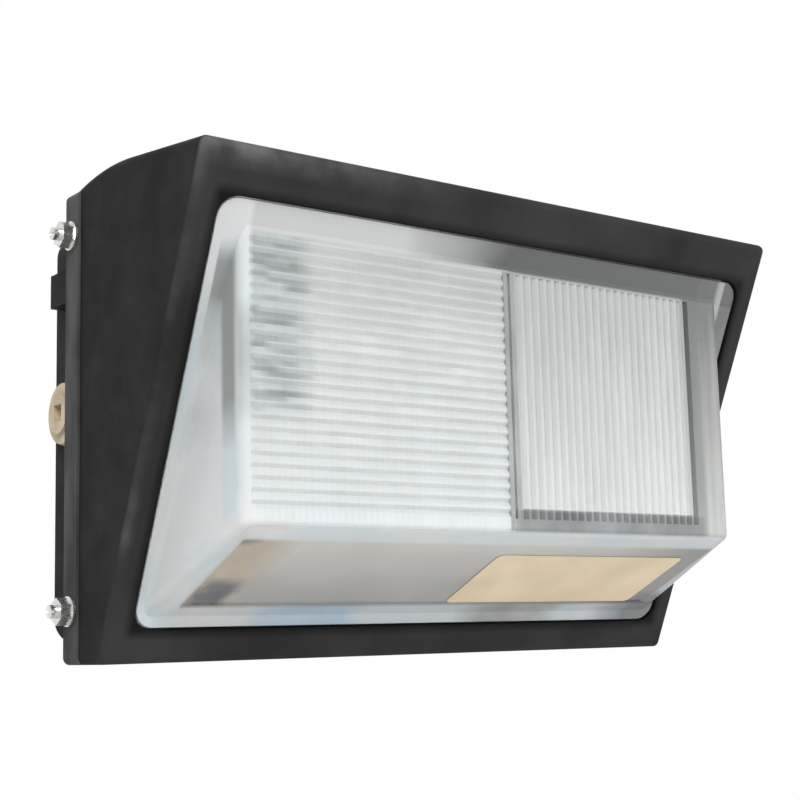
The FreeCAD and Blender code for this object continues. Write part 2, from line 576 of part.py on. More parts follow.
def build_refractor():
    """Pressed glass: a hollow wedge with an upright front, on a rim that fills the window and a flange
    that lies behind the fascia."""
    body = new_body("refractor")
    foot_half = f"({WINDOW_HALF} - glass_foot_inset)"
    wedge = new_sketch(body, "wedge", "YZ_Plane")
    draw(wedge, [
        (flange_middle(GLASS_FOOT), f"{HOOD_BOTTOM} + {GLASS_FOOT}"),
        (flange_middle(GLASS_HEAD), f"{HOOD_BOTTOM} + {GLASS_HEAD}"),
        (GLASS_FRONT, f"{HOOD_BOTTOM} + {GLASS_HEAD}"),
        (GLASS_FRONT, f"{HOOD_BOTTOM} + glass_break_height")])
    pad(body, wedge, f"2 * {foot_half}", both=True)
    draft = new_sketch(body, "side_draft", "XY_Plane")
    for side_sign in SIDES.values():
        draw(draft, [
            (f"{side_sign} * {foot_half}", flange_middle(GLASS_FOOT)),
            (f"{side_sign} * glass_front_width / 2", GLASS_FRONT),
            (f"{side_sign} * ({foot_half} + glass_wall)", GLASS_FRONT)])
    pocket(body, draft, "2 * hood_height", both=True)
    front, top = number(GLASS_FRONT), number(f"{HOOD_BOTTOM} + {GLASS_HEAD}")
    round_edges(body, "glass_round", lambda box: box.YMin < front + 1 and box.ZMin < top - 1)

    flange = fascia_sketch(body, "flange", f"-{FLANGE_FRONT}")
    flange_outline(flange)
    pad(body, flange, "flange_thick", reverse=True)
    rim = fascia_sketch(body, "rim", "-glass_rim_sink")
    window_outline(rim, "glass_window_gap")
    pad(body, rim, f"{FLANGE_FRONT} + flange_thick / 2 - glass_rim_sink", reverse=True)

    hollow = new_sketch(body, "hollow", "YZ_Plane")
    inside_top = f"({GLASS_HEAD} - glass_wall)"
    past_flange = "2 * flange_thick"
    draw(hollow, [
        (f"{flange_middle(GLASS_FOOT)} + {past_flange}",
         f"{HOOD_BOTTOM} + {GLASS_FOOT} + glass_wall / cos({UNDERSIDE_LEAN})"
         f" - {past_flange} * tan({UNDERSIDE_LEAN})"),
        (f"{flange_middle(inside_top)} + {past_flange}", f"{HOOD_BOTTOM} + {inside_top}"),
        (f"{GLASS_FRONT} + glass_wall", f"{HOOD_BOTTOM} + {inside_top}"),
        (f"{GLASS_FRONT} + glass_wall",
         f"{HOOD_BOTTOM} + glass_break_height + glass_wall / cos({UNDERSIDE_LEAN})"
         f" - glass_wall * tan({UNDERSIDE_LEAN})")])
    pocket(body, hollow, "glass_front_width - 2 * glass_wall", both=True)

    rows = f"floor(({GLASS_HEAD} - glass_break_height - prism_foot - prism_head) / prism_pitch)"
    columns = "floor((glass_front_width / 2 - seam_wide / 2 - flute_margin) / prism_pitch)"
    prism = new_sketch(body, "prism", "YZ_Plane", "-seam_wide / 2")
    prism_start = f"({HOOD_BOTTOM} + glass_break_height + prism_foot)"
    draw(prism, [
        (f"{GLASS_FRONT} - prism_land", prism_start),
        (f"{GLASS_FRONT} + prism_deep", f"{prism_start} + prism_pitch / 2"),
        (f"{GLASS_FRONT} - prism_land", f"{prism_start} + prism_pitch")])
    groove = pocket(body, prism, "glass_front_width / 2 - seam_wide / 2 - prism_margin")
    repeat(body, groove, "Z_Axis", "prism_pitch", rows)
    flute = new_sketch(body, "flute", "XY_Plane", prism_start)
    draw(flute, [
        ("seam_wide / 2", f"{GLASS_FRONT} - prism_land"),
        ("seam_wide / 2 + prism_pitch", f"{GLASS_FRONT} - prism_land"),
        ("seam_wide / 2 + prism_pitch / 2", f"{GLASS_FRONT} + prism_deep")])
    channel = pocket(body, flute, f"{rows} * prism_pitch", reverse=True)
    repeat(body, channel, "X_Axis", "prism_pitch", columns)
    seam = new_sketch(body, "seam", "XY_Plane", prism_start)
    rectangle(seam, "-seam_groove_wide / 2", "seam_groove_wide / 2", f"{GLASS_FRONT} - prism_land",
              f"{GLASS_FRONT} + seam_groove_deep")
    pocket(body, seam, f"{rows} * prism_pitch", reverse=True)
    return body


def build_refractor_gasket():
    body = new_body("refractor_gasket")
    ring = fascia_sketch(body, "ring", "-hood_wall")
    flange_outline(ring)
    window_outline(ring, "0")
    pad(body, ring, "gasket_thick", reverse=True)
    return body


def build_glass_clips():
    """Four plates across the flange's edge, each held by a screw in a boss of the fascia."""
    clips, screws = [], []
    inward = "(clip_boss_out - flange_wide + clip_hold)"
    for side_name, side_sign in SIDES.items():
        for row_name, (row_sign, along) in CLIP_ROWS.items():
            name = f"{side_name}_{row_name}"
            middle = f"{side_sign} * clip_out"
            plate = primitive("Box", f"{name}_plate", Length="clip_wide",
                              Width=f"clip_boss_radius + {inward}", Height="clip_thick")
            lower_end = f"{along} - {inward}" if row_sign == "1" else f"{along} - clip_boss_radius"
            plate_y, plate_z = on_slope(lower_end, f"-{FLANGE_BACK} - clip_thick")
            place(plate, f"{middle} - clip_wide / 2", plate_y, plate_z, angle=f"90deg + {FASCIA_LEAN}")
            hole = cylinder(f"{name}_hole", "clip_screw_radius + clip_screw_clearance", "3 * clip_thick")
            hole_y, hole_z = on_slope(along, f"-{FLANGE_BACK} - 2 * clip_thick")
            place(hole, middle, hole_y, hole_z, angle=f"90deg + {FASCIA_LEAN}")
            clips.append(cut(f"{name}_clip", plate, hole))
            screw = small_screw(f"{name}_screw", "flange_thick + clip_thick", "clip_screw_radius")
            screw_y, screw_z = on_slope(along, f"-{FLANGE_BACK} - clip_thick")
            screws.append(place(screw, middle, screw_y, screw_z, angle=f"{FASCIA_LEAN} - 90deg"))
    return [group("refractor_clips", clips), group("clip_screws", screws)]


# Seal, hinge pins, hood screws and conduit plugs

def build_housing_gasket():
    body = new_body("housing_gasket")
    ring = new_sketch(body, "ring", "XZ_Plane", HOUSING_FRONT)
    housing_outline(ring, "0")
    housing_outline(ring, "housing_wall")
    pad(body, ring, "seal_thick")
    return body


def build_hinge_pins():
    pins = []
    for name, height in HINGE_HEIGHTS.items():
        length = "(2 * knuckle_length + 2 * knuckle_gap)"
        stem = cylinder(f"{name}_pin_stem", "hinge_pin_radius", length)
        head = primitive("Cone", f"{name}_pin_head", Radius1="pin_head_radius", Radius2="hinge_pin_radius",
                         Height="pin_head_thick")
        head.setExpression("Placement.Base.z", formula(length))
        pin = fuse(f"hinge_pin_{name}", [stem, head])
        pin.Label = f"hinge_pin_{name}"
        pins.append(place(pin, HINGE_X, "-hood_reach", f"{height} - knuckle_gap / 2 - knuckle_length"))
    return pins


def build_hood_screws():
    """Slotted hex-head screws that point into the housing's side lugs, and their washers."""
    pieces = []
    seat = f"-{HOOD_SIDE} - rim_proud - screw_seat_gap"
    grip = "(rim_proud + screw_seat_gap + housing_inset + housing_wall + screw_end)"
    for name, height in SCREW_HEIGHTS.items():
        shank = cylinder(f"{name}_shank", "screw_radius", f"{grip} + 2 * screw_washer_thick", f"-{grip}")
        head = hexagon(f"{name}_hex", "screw_head_flats", "screw_head_thick", "screw_washer_thick")
        nose = cylinder(f"{name}_nose", "screw_nose_radius", "screw_nose_length + screw_slot_deep",
                        "screw_washer_thick + screw_head_thick - screw_slot_deep")
        blank = fuse(f"{name}_blank", [shank, head, nose])
        slot = primitive("Box", f"{name}_slot", Length="screw_slot_wide", Width="4 * screw_nose_radius",
                         Height="2 * screw_slot_deep")
        place(slot, "-screw_slot_wide / 2", "-2 * screw_nose_radius",
              "screw_washer_thick + screw_head_thick + screw_nose_length - screw_slot_deep")
        screw = cut(f"hood_screw_{name}", blank, slot)
        disc = cylinder(f"{name}_disc", "screw_washer_radius", "screw_washer_thick")
        eye = cylinder(f"{name}_eye", "screw_radius + pin_clearance", "3 * screw_washer_thick",
                       "-screw_washer_thick")
        washer = cut(f"{name}_screw_washer", disc, eye)
        for piece in (screw, washer):
            piece.Label = piece.Name
            place(piece, seat, "-hood_reach - screw_depth", height, (0, 1, 0), "-90deg")
            pieces.append(piece)
    return pieces


CONDUIT_ENTRIES = {
    "left": (f"-{HOUSING_HALF}", "conduit_height", "-90deg"),
    "right": (HOUSING_HALF, "conduit_height", "90deg"),
    "top": ("0", HOUSING_HALF_TALL, "0"),
}


def build_conduit_plugs():
    """Plug with a round collar and a boss with a square key socket, over a flat sealing ring."""
    plugs, seals = [], []
    shank_radius = "(conduit_radius - plug_clearance)"
    for name, (x, z, turn) in CONDUIT_ENTRIES.items():
        shank = cylinder(f"{name}_plug_shank", shank_radius,
                         "plug_shank_length + plug_seal_thick + plug_collar_thick / 2", "-plug_shank_length")
        collar = primitive("Cone", f"{name}_plug_collar", Radius1="plug_collar_radius",
                           Radius2="plug_collar_radius - plug_collar_thick / 4", Height="plug_collar_thick")
        collar.setExpression("Placement.Base.z", formula("plug_seal_thick"))
        boss = cylinder(f"{name}_plug_boss", "plug_boss_radius", "plug_boss_thick + plug_collar_thick / 2",
                        "plug_seal_thick + plug_collar_thick / 2")
        blank = fuse(f"{name}_plug_blank", [shank, collar, boss])
        key = primitive("Box", f"{name}_plug_key", Length="plug_socket_wide", Width="plug_socket_wide",
                        Height="2 * plug_socket_deep")
        place(key, "-plug_socket_wide / 2", "-plug_socket_wide / 2",
              "plug_seal_thick + plug_collar_thick + plug_boss_thick - plug_socket_deep")
        plug = cut(f"conduit_plug_{name}", blank, key)
        plug.Label = plug.Name
        plugs.append(place(plug, x, "-conduit_depth", z, (0, 1, 0), turn))
        disc = cylinder(f"{name}_seal_disc", "plug_collar_radius", "plug_seal_thick")
        eye = cylinder(f"{name}_seal_eye", "conduit_radius", "3 * plug_seal_thick", "-plug_seal_thick")
        seals.append(place(cut(f"{name}_seal", disc, eye), x, "-conduit_depth", z, (0, 1, 0), turn))
    return plugs + [group("plug_seals", seals)]


# Reflector

def build_reflector():
    """One folded sheet: a kicked-up lower lip, an upright back and a slope up to the brow."""
    body = new_body("reflector")
    fold = ("atan((reflector_top_depth - reflector_back)"
            " / (reflector_top_height - reflector_fold_height))")
    tangent = f"(reflector_bend * tan({fold} / 2))"
    profile = new_sketch(body, "profile", "YZ_Plane")

    def at(depth, height):
        return f"-({depth})", f"{HOOD_BOTTOM} + {height}"

    bend_end = (f"reflector_back + {tangent} * sin({fold})",
                f"reflector_fold_height + {tangent} * cos({fold})")
    skin = (f"reflector_thick * cos({fold})", f"reflector_thick * sin({fold})")
    draw(profile, [
        at("reflector_low_depth", "reflector_low_height"),
        at("reflector_back", "reflector_kick_height"),
        (*at("reflector_back", f"reflector_fold_height - {tangent}"), "reflector_bend"),
        at(*bend_end),
        at("reflector_top_depth", "reflector_top_height"),
        at(f"reflector_top_depth + {skin[0]}", f"reflector_top_height - {skin[1]}"),
        (*at(f"{bend_end[0]} + {skin[0]}", f"{bend_end[1]} - {skin[1]}"),
         "-(reflector_bend - reflector_thick)"),
        at("reflector_back + reflector_thick", f"reflector_fold_height - {tangent}"),
        at("reflector_back + reflector_thick", "reflector_kick_height"),
        at("reflector_low_depth + reflector_thick", "reflector_low_height")])
    pad(body, profile, "reflector_wide", both=True)
    holes = new_sketch(body, "screw_holes", "XZ_Plane", "reflector_back - reflector_thick")
    for side_sign in SIDES.values():
        for height in ("post_low_height", "post_high_height"):
            circle(holes, f"{side_sign} * post_out", f"{HOOD_BOTTOM} + {height}",
                   "small_screw_radius + small_screw_clearance")
    pocket(body, holes, "3 * reflector_thick", reverse=True)
    return body


def build_reflector_screws():
    screws = []
    for side_name, side_sign in SIDES.items():
        stack = "(reflector_thick + bracket_thick)" if side_name == "left" else "reflector_thick"
        for height in ("post_low_height", "post_high_height"):
            screw = small_screw(f"{side_name}_{height}_screw",
                                f"{stack} + small_screw_length - screw_end_gap")
            screws.append(place(screw, f"{side_sign} * post_out", f"-(reflector_back + {stack})",
                                f"{HOOD_BOTTOM} + {height}", angle="90deg"))
    return group("reflector_screws", screws)


# Lamp and socket: drawn with the socket towards +X, then turned half round to put it on the left

SOCKET_BACK = "(reflector_wide / 2 - bracket_thick)"
SOCKET_FLOOR = f"({SOCKET_BACK} - socket_floor)"
LAMP_SEAT = (f"({SOCKET_FLOOR} - contact_thick - contact_gap - base_button_length"
             " - base_taper - base_length)")
SHELL_BORE = "(base_radius + socket_clearance)"


def turned_on_lamp_axis(name, points):
    """Solid turned about the lamp's axis from an outline of (x, radius) points."""
    body = new_body(name)
    outline = new_sketch(body, "outline", "XZ_Plane")
    draw(outline, points)
    revolve(body, outline, "X_Axis")
    return place(body, "0", "-lamp_depth", "lamp_height", (0, 0, 1), "180deg")


def build_lamp():
    tip = f"({LAMP_SEAT} - bulb_length)"
    dome = f"({tip} + bulb_radius)"
    shoulder = f"({LAMP_SEAT} - neck_length - shoulder_length)"
    stem_end = f"({LAMP_SEAT} - stem_plate - stem_length)"
    bulb = turned_on_lamp_axis("lamp_bulb", [
        (LAMP_SEAT, "0"), (LAMP_SEAT, "neck_radius"), (f"{LAMP_SEAT} - neck_length", "neck_radius"),
        (shoulder, "bulb_radius"), (dome, "bulb_radius", "bulb_radius"), (tip, "0"),
        (f"{tip} + bulb_wall", "0", "-(bulb_radius - bulb_wall)"), (dome, "bulb_radius - bulb_wall"),
        (shoulder, "bulb_radius - bulb_wall"), (f"{LAMP_SEAT} - neck_length", "neck_radius - bulb_wall"),
        (f"{LAMP_SEAT} - stem_plate", "neck_radius - bulb_wall"),
        (f"{LAMP_SEAT} - stem_plate", "stem_radius"), (stem_end, "stem_radius"), (stem_end, "0")])
    shell_end = f"({LAMP_SEAT} + base_length)"
    button = f"({shell_end} + base_taper)"
    base = turned_on_lamp_axis("lamp_base", [
        (LAMP_SEAT, "0"), (f"{button} + base_button_length", "0"),
        (f"{button} + base_button_length", "base_button_radius"), (button, "base_button_radius"),
        (shell_end, "base_radius"), (LAMP_SEAT, "base_radius")])
    tube_start = f"({LAMP_SEAT} - arc_tube_start)"
    tube_end = f"({tube_start} - arc_tube_length)"
    lead_end = f"{tip} + bulb_wall + pin_clearance"
    arc_tube = turned_on_lamp_axis("lamp_arc_tube", [
        (stem_end, "0"), (stem_end, "lead_radius"), (tube_start, "lead_radius"),
        (tube_start, "arc_tube_radius"), (tube_end, "arc_tube_radius"), (tube_end, "lead_radius"),
        (lead_end, "lead_radius"), (lead_end, "0")])
    return [bulb, base, arc_tube]


def build_socket():
    mouth = f"({LAMP_SEAT} + socket_mouth)"
    bore = f"({SHELL_BORE} + shell_thick)"
    socket = turned_on_lamp_axis("lamp_socket", [
        (mouth, bore), (SOCKET_FLOOR, bore), (SOCKET_FLOOR, "0"), (SOCKET_BACK, "0"),
        (SOCKET_BACK, "socket_radius"), (f"{mouth} + socket_mouth", "socket_radius"),
        (mouth, "socket_radius - socket_mouth")])
    holes = new_sketch(socket, "screw_holes", "YZ_Plane", SOCKET_BACK)
    for end_sign in ("-1", "1"):
        circle(holes, "0", f"{end_sign} * socket_screw_out", "small_screw_radius + small_screw_clearance")
    pocket(socket, holes, "socket_floor - screw_end_gap")
    tube = cylinder("shell_tube", bore, f"{SOCKET_FLOOR} - {mouth} - shell_recess")
    inside = cylinder("shell_inside", SHELL_BORE, f"2 * ({SOCKET_FLOOR} - {mouth})", "-shell_thick")
    shell = cut("screw_shell", tube, inside)
    place(shell, f"-({mouth} + shell_recess)", "-lamp_depth", "lamp_height", (0, 1, 0), "-90deg")
    contact = cylinder("centre_contact", "contact_radius", "contact_thick")
    place(contact, f"-({SOCKET_FLOOR} - contact_thick)", "-lamp_depth", "lamp_height", (0, 1, 0), "-90deg")
    screws = []
    for end_name, end_sign in (("low", "-1"), ("high", "1")):
        screw = small_screw(f"socket_{end_name}_screw", "bracket_thick + socket_floor - 2 * screw_end_gap")
        screws.append(place(screw, "-reflector_wide / 2", "-lamp_depth",
                            f"lamp_height + {end_sign} * socket_screw_out", (0, 1, 0), "-90deg"))
    return [socket, group("socket_contacts", [shell, contact]), group("socket_screws", screws)]


def build_socket_bracket():
    """Folded angle: its foot lies on the reflector under two of the reflector's screws."""
    body = new_body("socket_bracket")
    outer = "-reflector_wide / 2"
    foot_back = "(reflector_back + reflector_thick)"
    foot = new_sketch(body, "foot", "XZ_Plane", foot_back)
    rectangle(foot, outer, f"{outer} + bracket_foot", f"{HOOD_BOTTOM} + post_low_height - bracket_end",
              f"{HOOD_BOTTOM} + post_high_height + bracket_end")
    pad(body, foot, "bracket_thick")
    leg = new_sketch(body, "leg", "YZ_Plane", outer)
    rounded(leg, "-(lamp_depth + bracket_nose)", f"-{foot_back}", "lamp_height - bracket_nose",
            "lamp_height + bracket_nose", "bracket_round")
    pad(body, leg, "bracket_thick")
    foot_holes = new_sketch(body, "foot_holes", "XZ_Plane", f"{foot_back} - bracket_thick")
    for height in ("post_low_height", "post_high_height"):
        circle(foot_holes, "-post_out", f"{HOOD_BOTTOM} + {height}",
               "small_screw_radius + small_screw_clearance")
    pocket(body, foot_holes, "3 * bracket_thick", reverse=True)
    leg_holes = new_sketch(body, "leg_holes", "YZ_Plane", f"{outer} - bracket_thick")
    for end_sign in ("-1", "1"):
        circle(leg_holes, "-lamp_depth", f"lamp_height + {end_sign} * socket_screw_out",
               "small_screw_radius + small_screw_clearance")
    pocket(body, leg_holes, "3 * bracket_thick", reverse=True)
    return body


# Ballast and other control gear on the back housing

def build_ballast():
    core = new_body("ballast_core")
    plate = new_sketch(core, "lamination", "XZ_Plane", "core_standoff")
    rectangle(plate, "-core_wide / 2", "core_wide / 2", f"{BALLAST_Z} - core_tall / 2",
              f"{BALLAST_Z} + core_tall / 2")
    low, high = f"{BALLAST_Z} - core_window_tall / 2", f"{BALLAST_Z} + core_window_tall / 2"
    rectangle(plate, "-limb_half - core_window_wide", "-limb_half", low, high)
    rectangle(plate, "limb_half", "limb_half + core_window_wide", low, high)
    screws = []
    for side_name, side_sign in SIDES.items():
        for end_name, end_sign in (("low", "-1"), ("high", "1")):
            x = f"{side_sign} * (core_wide / 2 - core_hole_inset)"
            z = f"{BALLAST_Z} + {end_sign} * (core_tall / 2 - core_hole_inset)"
            circle(plate, x, z, "core_screw_radius + small_screw_clearance")
            screw = small_screw(f"core_{side_name}_{end_name}_screw",
                                "core_stack + core_standoff - housing_back - screw_end_gap",
                                "core_screw_radius", "core_screw_head")
            screws.append(place(screw, x, "-(core_standoff + core_stack)", z, angle="90deg"))
    pad(core, plate, "core_stack")

    coils = []
    for end_name, end_sign in (("lower", "-1"), ("upper", "1")):
        coil = new_body(f"{end_name}_coil")
        ring = new_sketch(coil, "ring", "XY_Plane",
                          f"{BALLAST_Z} + {end_sign} * coil_spacing / 2 - coil_tall / 2")
        rounded(ring, "-(limb_half + core_window_wide - coil_gap)", "limb_half + core_window_wide - coil_gap",
                "-(core_standoff + core_stack + coil_bulge)", "-(core_standoff - coil_bulge)", "coil_round")
        rectangle(ring, "-(limb_half + coil_gap)", "limb_half + coil_gap",
                  "-(core_standoff + core_stack + coil_gap)", "-(core_standoff - coil_gap)")
        pad(coil, ring, "coil_tall")
        coils.append(coil)
    return [core, group("ballast_coils", coils), group("ballast_screws", screws)]


def build_capacitor():
    can = new_body("capacitor")
    section = new_sketch(can, "section", "YZ_Plane", "can_middle - can_length / 2")
    rounded(section, "-(housing_back + can_thick)", "-housing_back", f"{CAN_Z} - can_tall / 2",
            f"{CAN_Z} + can_tall / 2", "can_round")
    pad(can, section, "can_length")
    terminals = new_sketch(can, "terminals", "YZ_Plane", "can_middle + can_length / 2")
    for end_sign in ("-1", "1"):
        circle(terminals, "-(housing_back + can_thick / 2)", f"{CAN_Z} + {end_sign} * can_tall / 4",
               "can_terminal_radius")
    pad(can, terminals, "can_terminal_length")

    strap = new_body("capacitor_strap")
    band = new_sketch(strap, "band", "YZ_Plane", "can_middle - strap_wide / 2")
    foot_back, front = "(housing_back + pad_thick)", "(housing_back + can_thick + coil_gap)"
    half = "(can_tall / 2 + coil_gap)"
    bend = f"({front} - can_round)"
    low, high = f"{CAN_Z} - {half}", f"{CAN_Z} + {half}"
    draw(band, [
        (f"-{foot_back}", f"{low} - strap_foot"), (f"-{foot_back}", low), (f"-{bend}", low, "-can_round"),
        (f"-{front}", f"{low} + can_round"), (f"-{front}", f"{high} - can_round", "-can_round"),
        (f"-{bend}", high), (f"-{foot_back}", high), (f"-{foot_back}", f"{high} + strap_foot"),
        (f"-{foot_back} - strap_thick", f"{high} + strap_foot"),
        (f"-{foot_back} - strap_thick", f"{high} + strap_thick"),
        (f"-{bend}", f"{high} + strap_thick", "can_round + strap_thick"),
        (f"-{front} - strap_thick", f"{high} - can_round"),
        (f"-{front} - strap_thick", f"{low} + can_round", "can_round + strap_thick"),
        (f"-{bend}", f"{low} - strap_thick"), (f"-{foot_back} - strap_thick", f"{low} - strap_thick"),
        (f"-{foot_back} - strap_thick", f"{low} - strap_foot")])
    pad(strap, band, "strap_wide")
    holes = new_sketch(strap, "screw_holes", "XZ_Plane", "housing_back")
    screws = []
    for end_name, end_sign in (("low", "-1"), ("high", "1")):
        z = f"{CAN_Z} + {end_sign} * {STRAP_FEET_Z}"
        circle(holes, "can_middle", z, "small_screw_radius + small_screw_clearance")
        screw = small_screw(f"strap_{end_name}_screw", "strap_thick + pad_thick")
        screws.append(place(screw, "can_middle", f"-({foot_back} + strap_thick)", z, angle="90deg"))
    pocket(strap, holes, "pad_thick + 2 * strap_thick", reverse=True)
    return [can, strap, group("strap_screws", screws)]


def build_ignitor():
    body = new_body("ignitor")
    block = new_sketch(body, "block", "XZ_Plane", "housing_back")
    left = "ignitor_middle - ignitor_wide / 2"
    rounded(block, left, "ignitor_middle + ignitor_wide / 2", f"{IGNITOR_Z} - ignitor_tall / 2",
            f"{IGNITOR_Z} + ignitor_tall / 2", "ignitor_round")
    pad(body, block, "ignitor_thick")
    tab = new_sketch(body, "tab", "XZ_Plane", "housing_back + pad_thick")
    rectangle(tab, f"{left} - ignitor_tab", f"{left} + ignitor_round", f"{IGNITOR_Z} - ignitor_tab / 2",
              f"{IGNITOR_Z} + ignitor_tab / 2")
    pad(body, tab, "ignitor_tab_thick")
    hole = new_sketch(body, "screw_hole", "XZ_Plane", "housing_back")
    circle(hole, f"{left} - ignitor_tab / 2", IGNITOR_Z, "small_screw_radius + small_screw_clearance")
    pocket(body, hole, "pad_thick + 2 * ignitor_tab_thick", reverse=True)
    screw = small_screw("ignitor_screw", "ignitor_tab_thick + pad_thick")
    place(screw, f"{left} - ignitor_tab / 2", "-(housing_back + pad_thick + ignitor_tab_thick)",
          IGNITOR_Z, angle="90deg")
    screw.Label = screw.Name
    return [body, screw]


def build_terminals():
    block = new_body("terminal_block")
    outline = new_sketch(block, "outline", "XZ_Plane", "housing_back")
    rectangle(outline, "-terminal_wide / 2", "terminal_wide / 2", f"{TERMINAL_Z} - terminal_tall / 2",
              f"{TERMINAL_Z} + terminal_tall / 2")
    pad(block, outline, "terminal_thick")
    ways = new_sketch(block, "ways", "XZ_Plane", "housing_back + terminal_thick")
    for way in (-1, 0, 1):
        circle(ways, f"{way} * terminal_wide / 3", TERMINAL_Z, "terminal_hole_radius")
    pocket(block, ways, "terminal_thick / 2")
    shank = cylinder("ground_shank", "small_screw_radius", "pad_thick + ground_head_thick / 2",
                     "-pad_thick")
    head = hexagon("ground_head", "2 * ground_head_radius", "ground_head_thick")
    ground = fuse("ground_screw", [shank, head])
    ground.Label = ground.Name
    place(ground, "ground_out", "-(housing_back + pad_thick)", GROUND_Z, angle="90deg")
    return [block, ground]


def build_all():
    return [
        build_back_housing(), build_hood(), build_refractor(), build_refractor_gasket(), *build_glass_clips(),
        build_housing_gasket(), *build_hinge_pins(), *build_hood_screws(), *build_conduit_plugs(),
        build_reflector(), build_reflector_screws(), build_socket_bracket(), *build_socket(), *build_lamp(),
        *build_ballast(), *build_capacitor(), *build_ignitor(), *build_terminals()]


subparts = build_all()
doc.recompute()
for item in doc.Objects:
    if any(word in item.State for word in ("Invalid", "Error")):
        raise RuntimeError(f"{item.Name} failed to build: {item.State}")
for item in subparts:
    if item.Shape.isNull() or not item.Shape.isValid() or not item.Shape.Solids:
        raise RuntimeError(f"{item.Label} has no sound solid")
os.makedirs("parts", exist_ok=True)
for item in subparts:
    item.Shape.exportStep(f"parts/{item.Label}.step")
    print(item.Label, len(item.Shape.Solids), "solids", round(item.Shape.Volume / 1000, 1), "cm3")
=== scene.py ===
# Outdoor wall light: finishes for the castings, glass and fittings, a plain film under the glass,
# studio light and the photograph's camera. Everything is in metres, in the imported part's frame.
import math

import bmesh
import bpy
from mathutils import Matrix, Vector


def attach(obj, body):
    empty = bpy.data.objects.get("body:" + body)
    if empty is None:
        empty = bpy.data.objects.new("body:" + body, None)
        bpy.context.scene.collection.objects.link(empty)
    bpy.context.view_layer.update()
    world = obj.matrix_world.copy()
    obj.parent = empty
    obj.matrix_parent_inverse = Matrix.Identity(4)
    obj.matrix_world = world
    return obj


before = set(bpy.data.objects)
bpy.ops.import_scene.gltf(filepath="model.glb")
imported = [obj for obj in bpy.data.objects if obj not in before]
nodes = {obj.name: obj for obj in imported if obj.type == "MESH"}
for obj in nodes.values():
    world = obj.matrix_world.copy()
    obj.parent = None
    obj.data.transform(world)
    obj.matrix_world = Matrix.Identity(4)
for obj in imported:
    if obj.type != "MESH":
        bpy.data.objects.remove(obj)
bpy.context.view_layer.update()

# Places in metres. A pair says where a soft edge starts and where it is complete. Three numbers are the start
# and the end of a stretch, and the width over which it fades out beyond them.

# Hood: rear rim, sloping fascia with its window, edges with painted highlights
REAR_RIM = (-0.053, -0.038, 0.0005)
FASCIA_POINT = Vector((0, -0.076, -0.1275))
FASCIA_NORMAL = Vector((0, -0.9153, -0.4029))
FASCIA_RISE = Vector((0, -0.4029, 0.9153))
FASCIA_SKIN = (-0.004, -0.002)
WINDOW_ACROSS = (-0.1905, 0.1905, 0.006)
WINDOW_UP = (0.0185, 0.2475, 0.006)
BROW_HIGHLIGHT_UP = (0.2595, 0.2705)
BROW_HIGHLIGHT_ACROSS = (-0.206, -0.04)
SIDE_HIGHLIGHT_ACROSS = (-0.204, -0.199)

# Glass front: two panels with a seam between them, prisms on the left one and flutes on the right one
GLASS_IOR = 1.47
GLASS_FRONT = -0.169
FRONT_SKIN = (-0.166, -0.163)
PANELS_ACROSS = (-0.171, 0.14, 0.004)
PANELS_TOP = (0.0835, 0.0855)
PANELS_FOOT_FADE = 0.001
LEFT_OF_SEAM = (-0.001, 0.001)
SEAM = (-0.004, 0.004, 0.001)
PRISMS_LOW, PRISMS_HIGH, PRISM_FACES = -0.0545, 0.0835, 46
RIB_PITCH = 0.004
STREAK_SPREAD = (24, 1, 7.3)
FLUTES_LOW = -0.0495
UNDER_FLUTES_ACROSS = (0.004, 0.15, 0.004)
UNDER_FLUTES_UP = (-0.0625, -0.0505, 0.001)
RIGHT_MARGIN = (0.158, 0.171, 0.004)
COOL_STRIP_ACROSS = (-0.143, -0.131)
COOL_STRIP_UP = (-0.012, 0.006)
LIGHT_DASHES_ACROSS = (-0.15, -0.13)

# Ends of the glass, and the rim that fills the window
LEFT_END = (-0.171, -0.168)
RIGHT_END = (0.171, 0.178, 0.001)
BEHIND_LEFT_EDGE = (-0.161, -0.154, 0.003)
DARK_BEHIND_EDGE_UP = (-0.014, 0.01)
SHADED_EDGE_UP = (-0.002, 0.04, 0.012)
LOW_LEFT_EDGE = (-0.001, 0.008, 0.004)
RIM_SKIN = (-0.004, -0.003)
LEFT_RIM = (-0.185, -0.184)
FOOT_RIM = (-0.1, -0.098)
FOOT_COOL = (-0.1, -0.05, 0.014)
FOOT_SHADED = (0.05, 0.098, 0.02)
FOOT_GREY = (0.13, 0.165)
TOP_SHADOW_ACROSS = (-0.055, 0.02)

# Break under the front, and the sloping underside
BREAK_HEIGHT = -0.0625
BREAK_TOP = (-0.0625, -0.0605)
BREAK_DEPTH = (-0.17, -0.159, 0.003)
UNDERSIDE_EDGE = Vector((0, GLASS_FRONT, BREAK_HEIGHT))
UNDERSIDE_ROOT = Vector((0, -0.0763, -0.1076))
UNDERSIDE_SLOPE = (UNDERSIDE_ROOT - UNDERSIDE_EDGE).normalized()
UNDERSIDE_NORMAL = Vector((1, 0, 0)).cross(UNDERSIDE_SLOPE)
UNDERSIDE_SKIN = (0.006, 0.009)
UNDERSIDE_GREY_DOWN = (0.01, 0.12)
UNDERSIDE_GREY_ACROSS = (0.09, 0.17)
SOCKET_END = (-0.176, -0.152, 0.02)
SPOT_WAVER = 0.016
UNDERSIDE_SPOTS = {
    "small_spot": {"across": (-0.159, -0.154, 0.006), "down": (0.02, 0.024, 0.006)},
    "large_spot": {"across": (-0.155, -0.142, 0.01), "down": (0.07, 0.088, 0.01)},
    "right_spot": {"across": (0.155, 0.2, 0.015), "down": (0.085, 0.13, 0.012)},
}

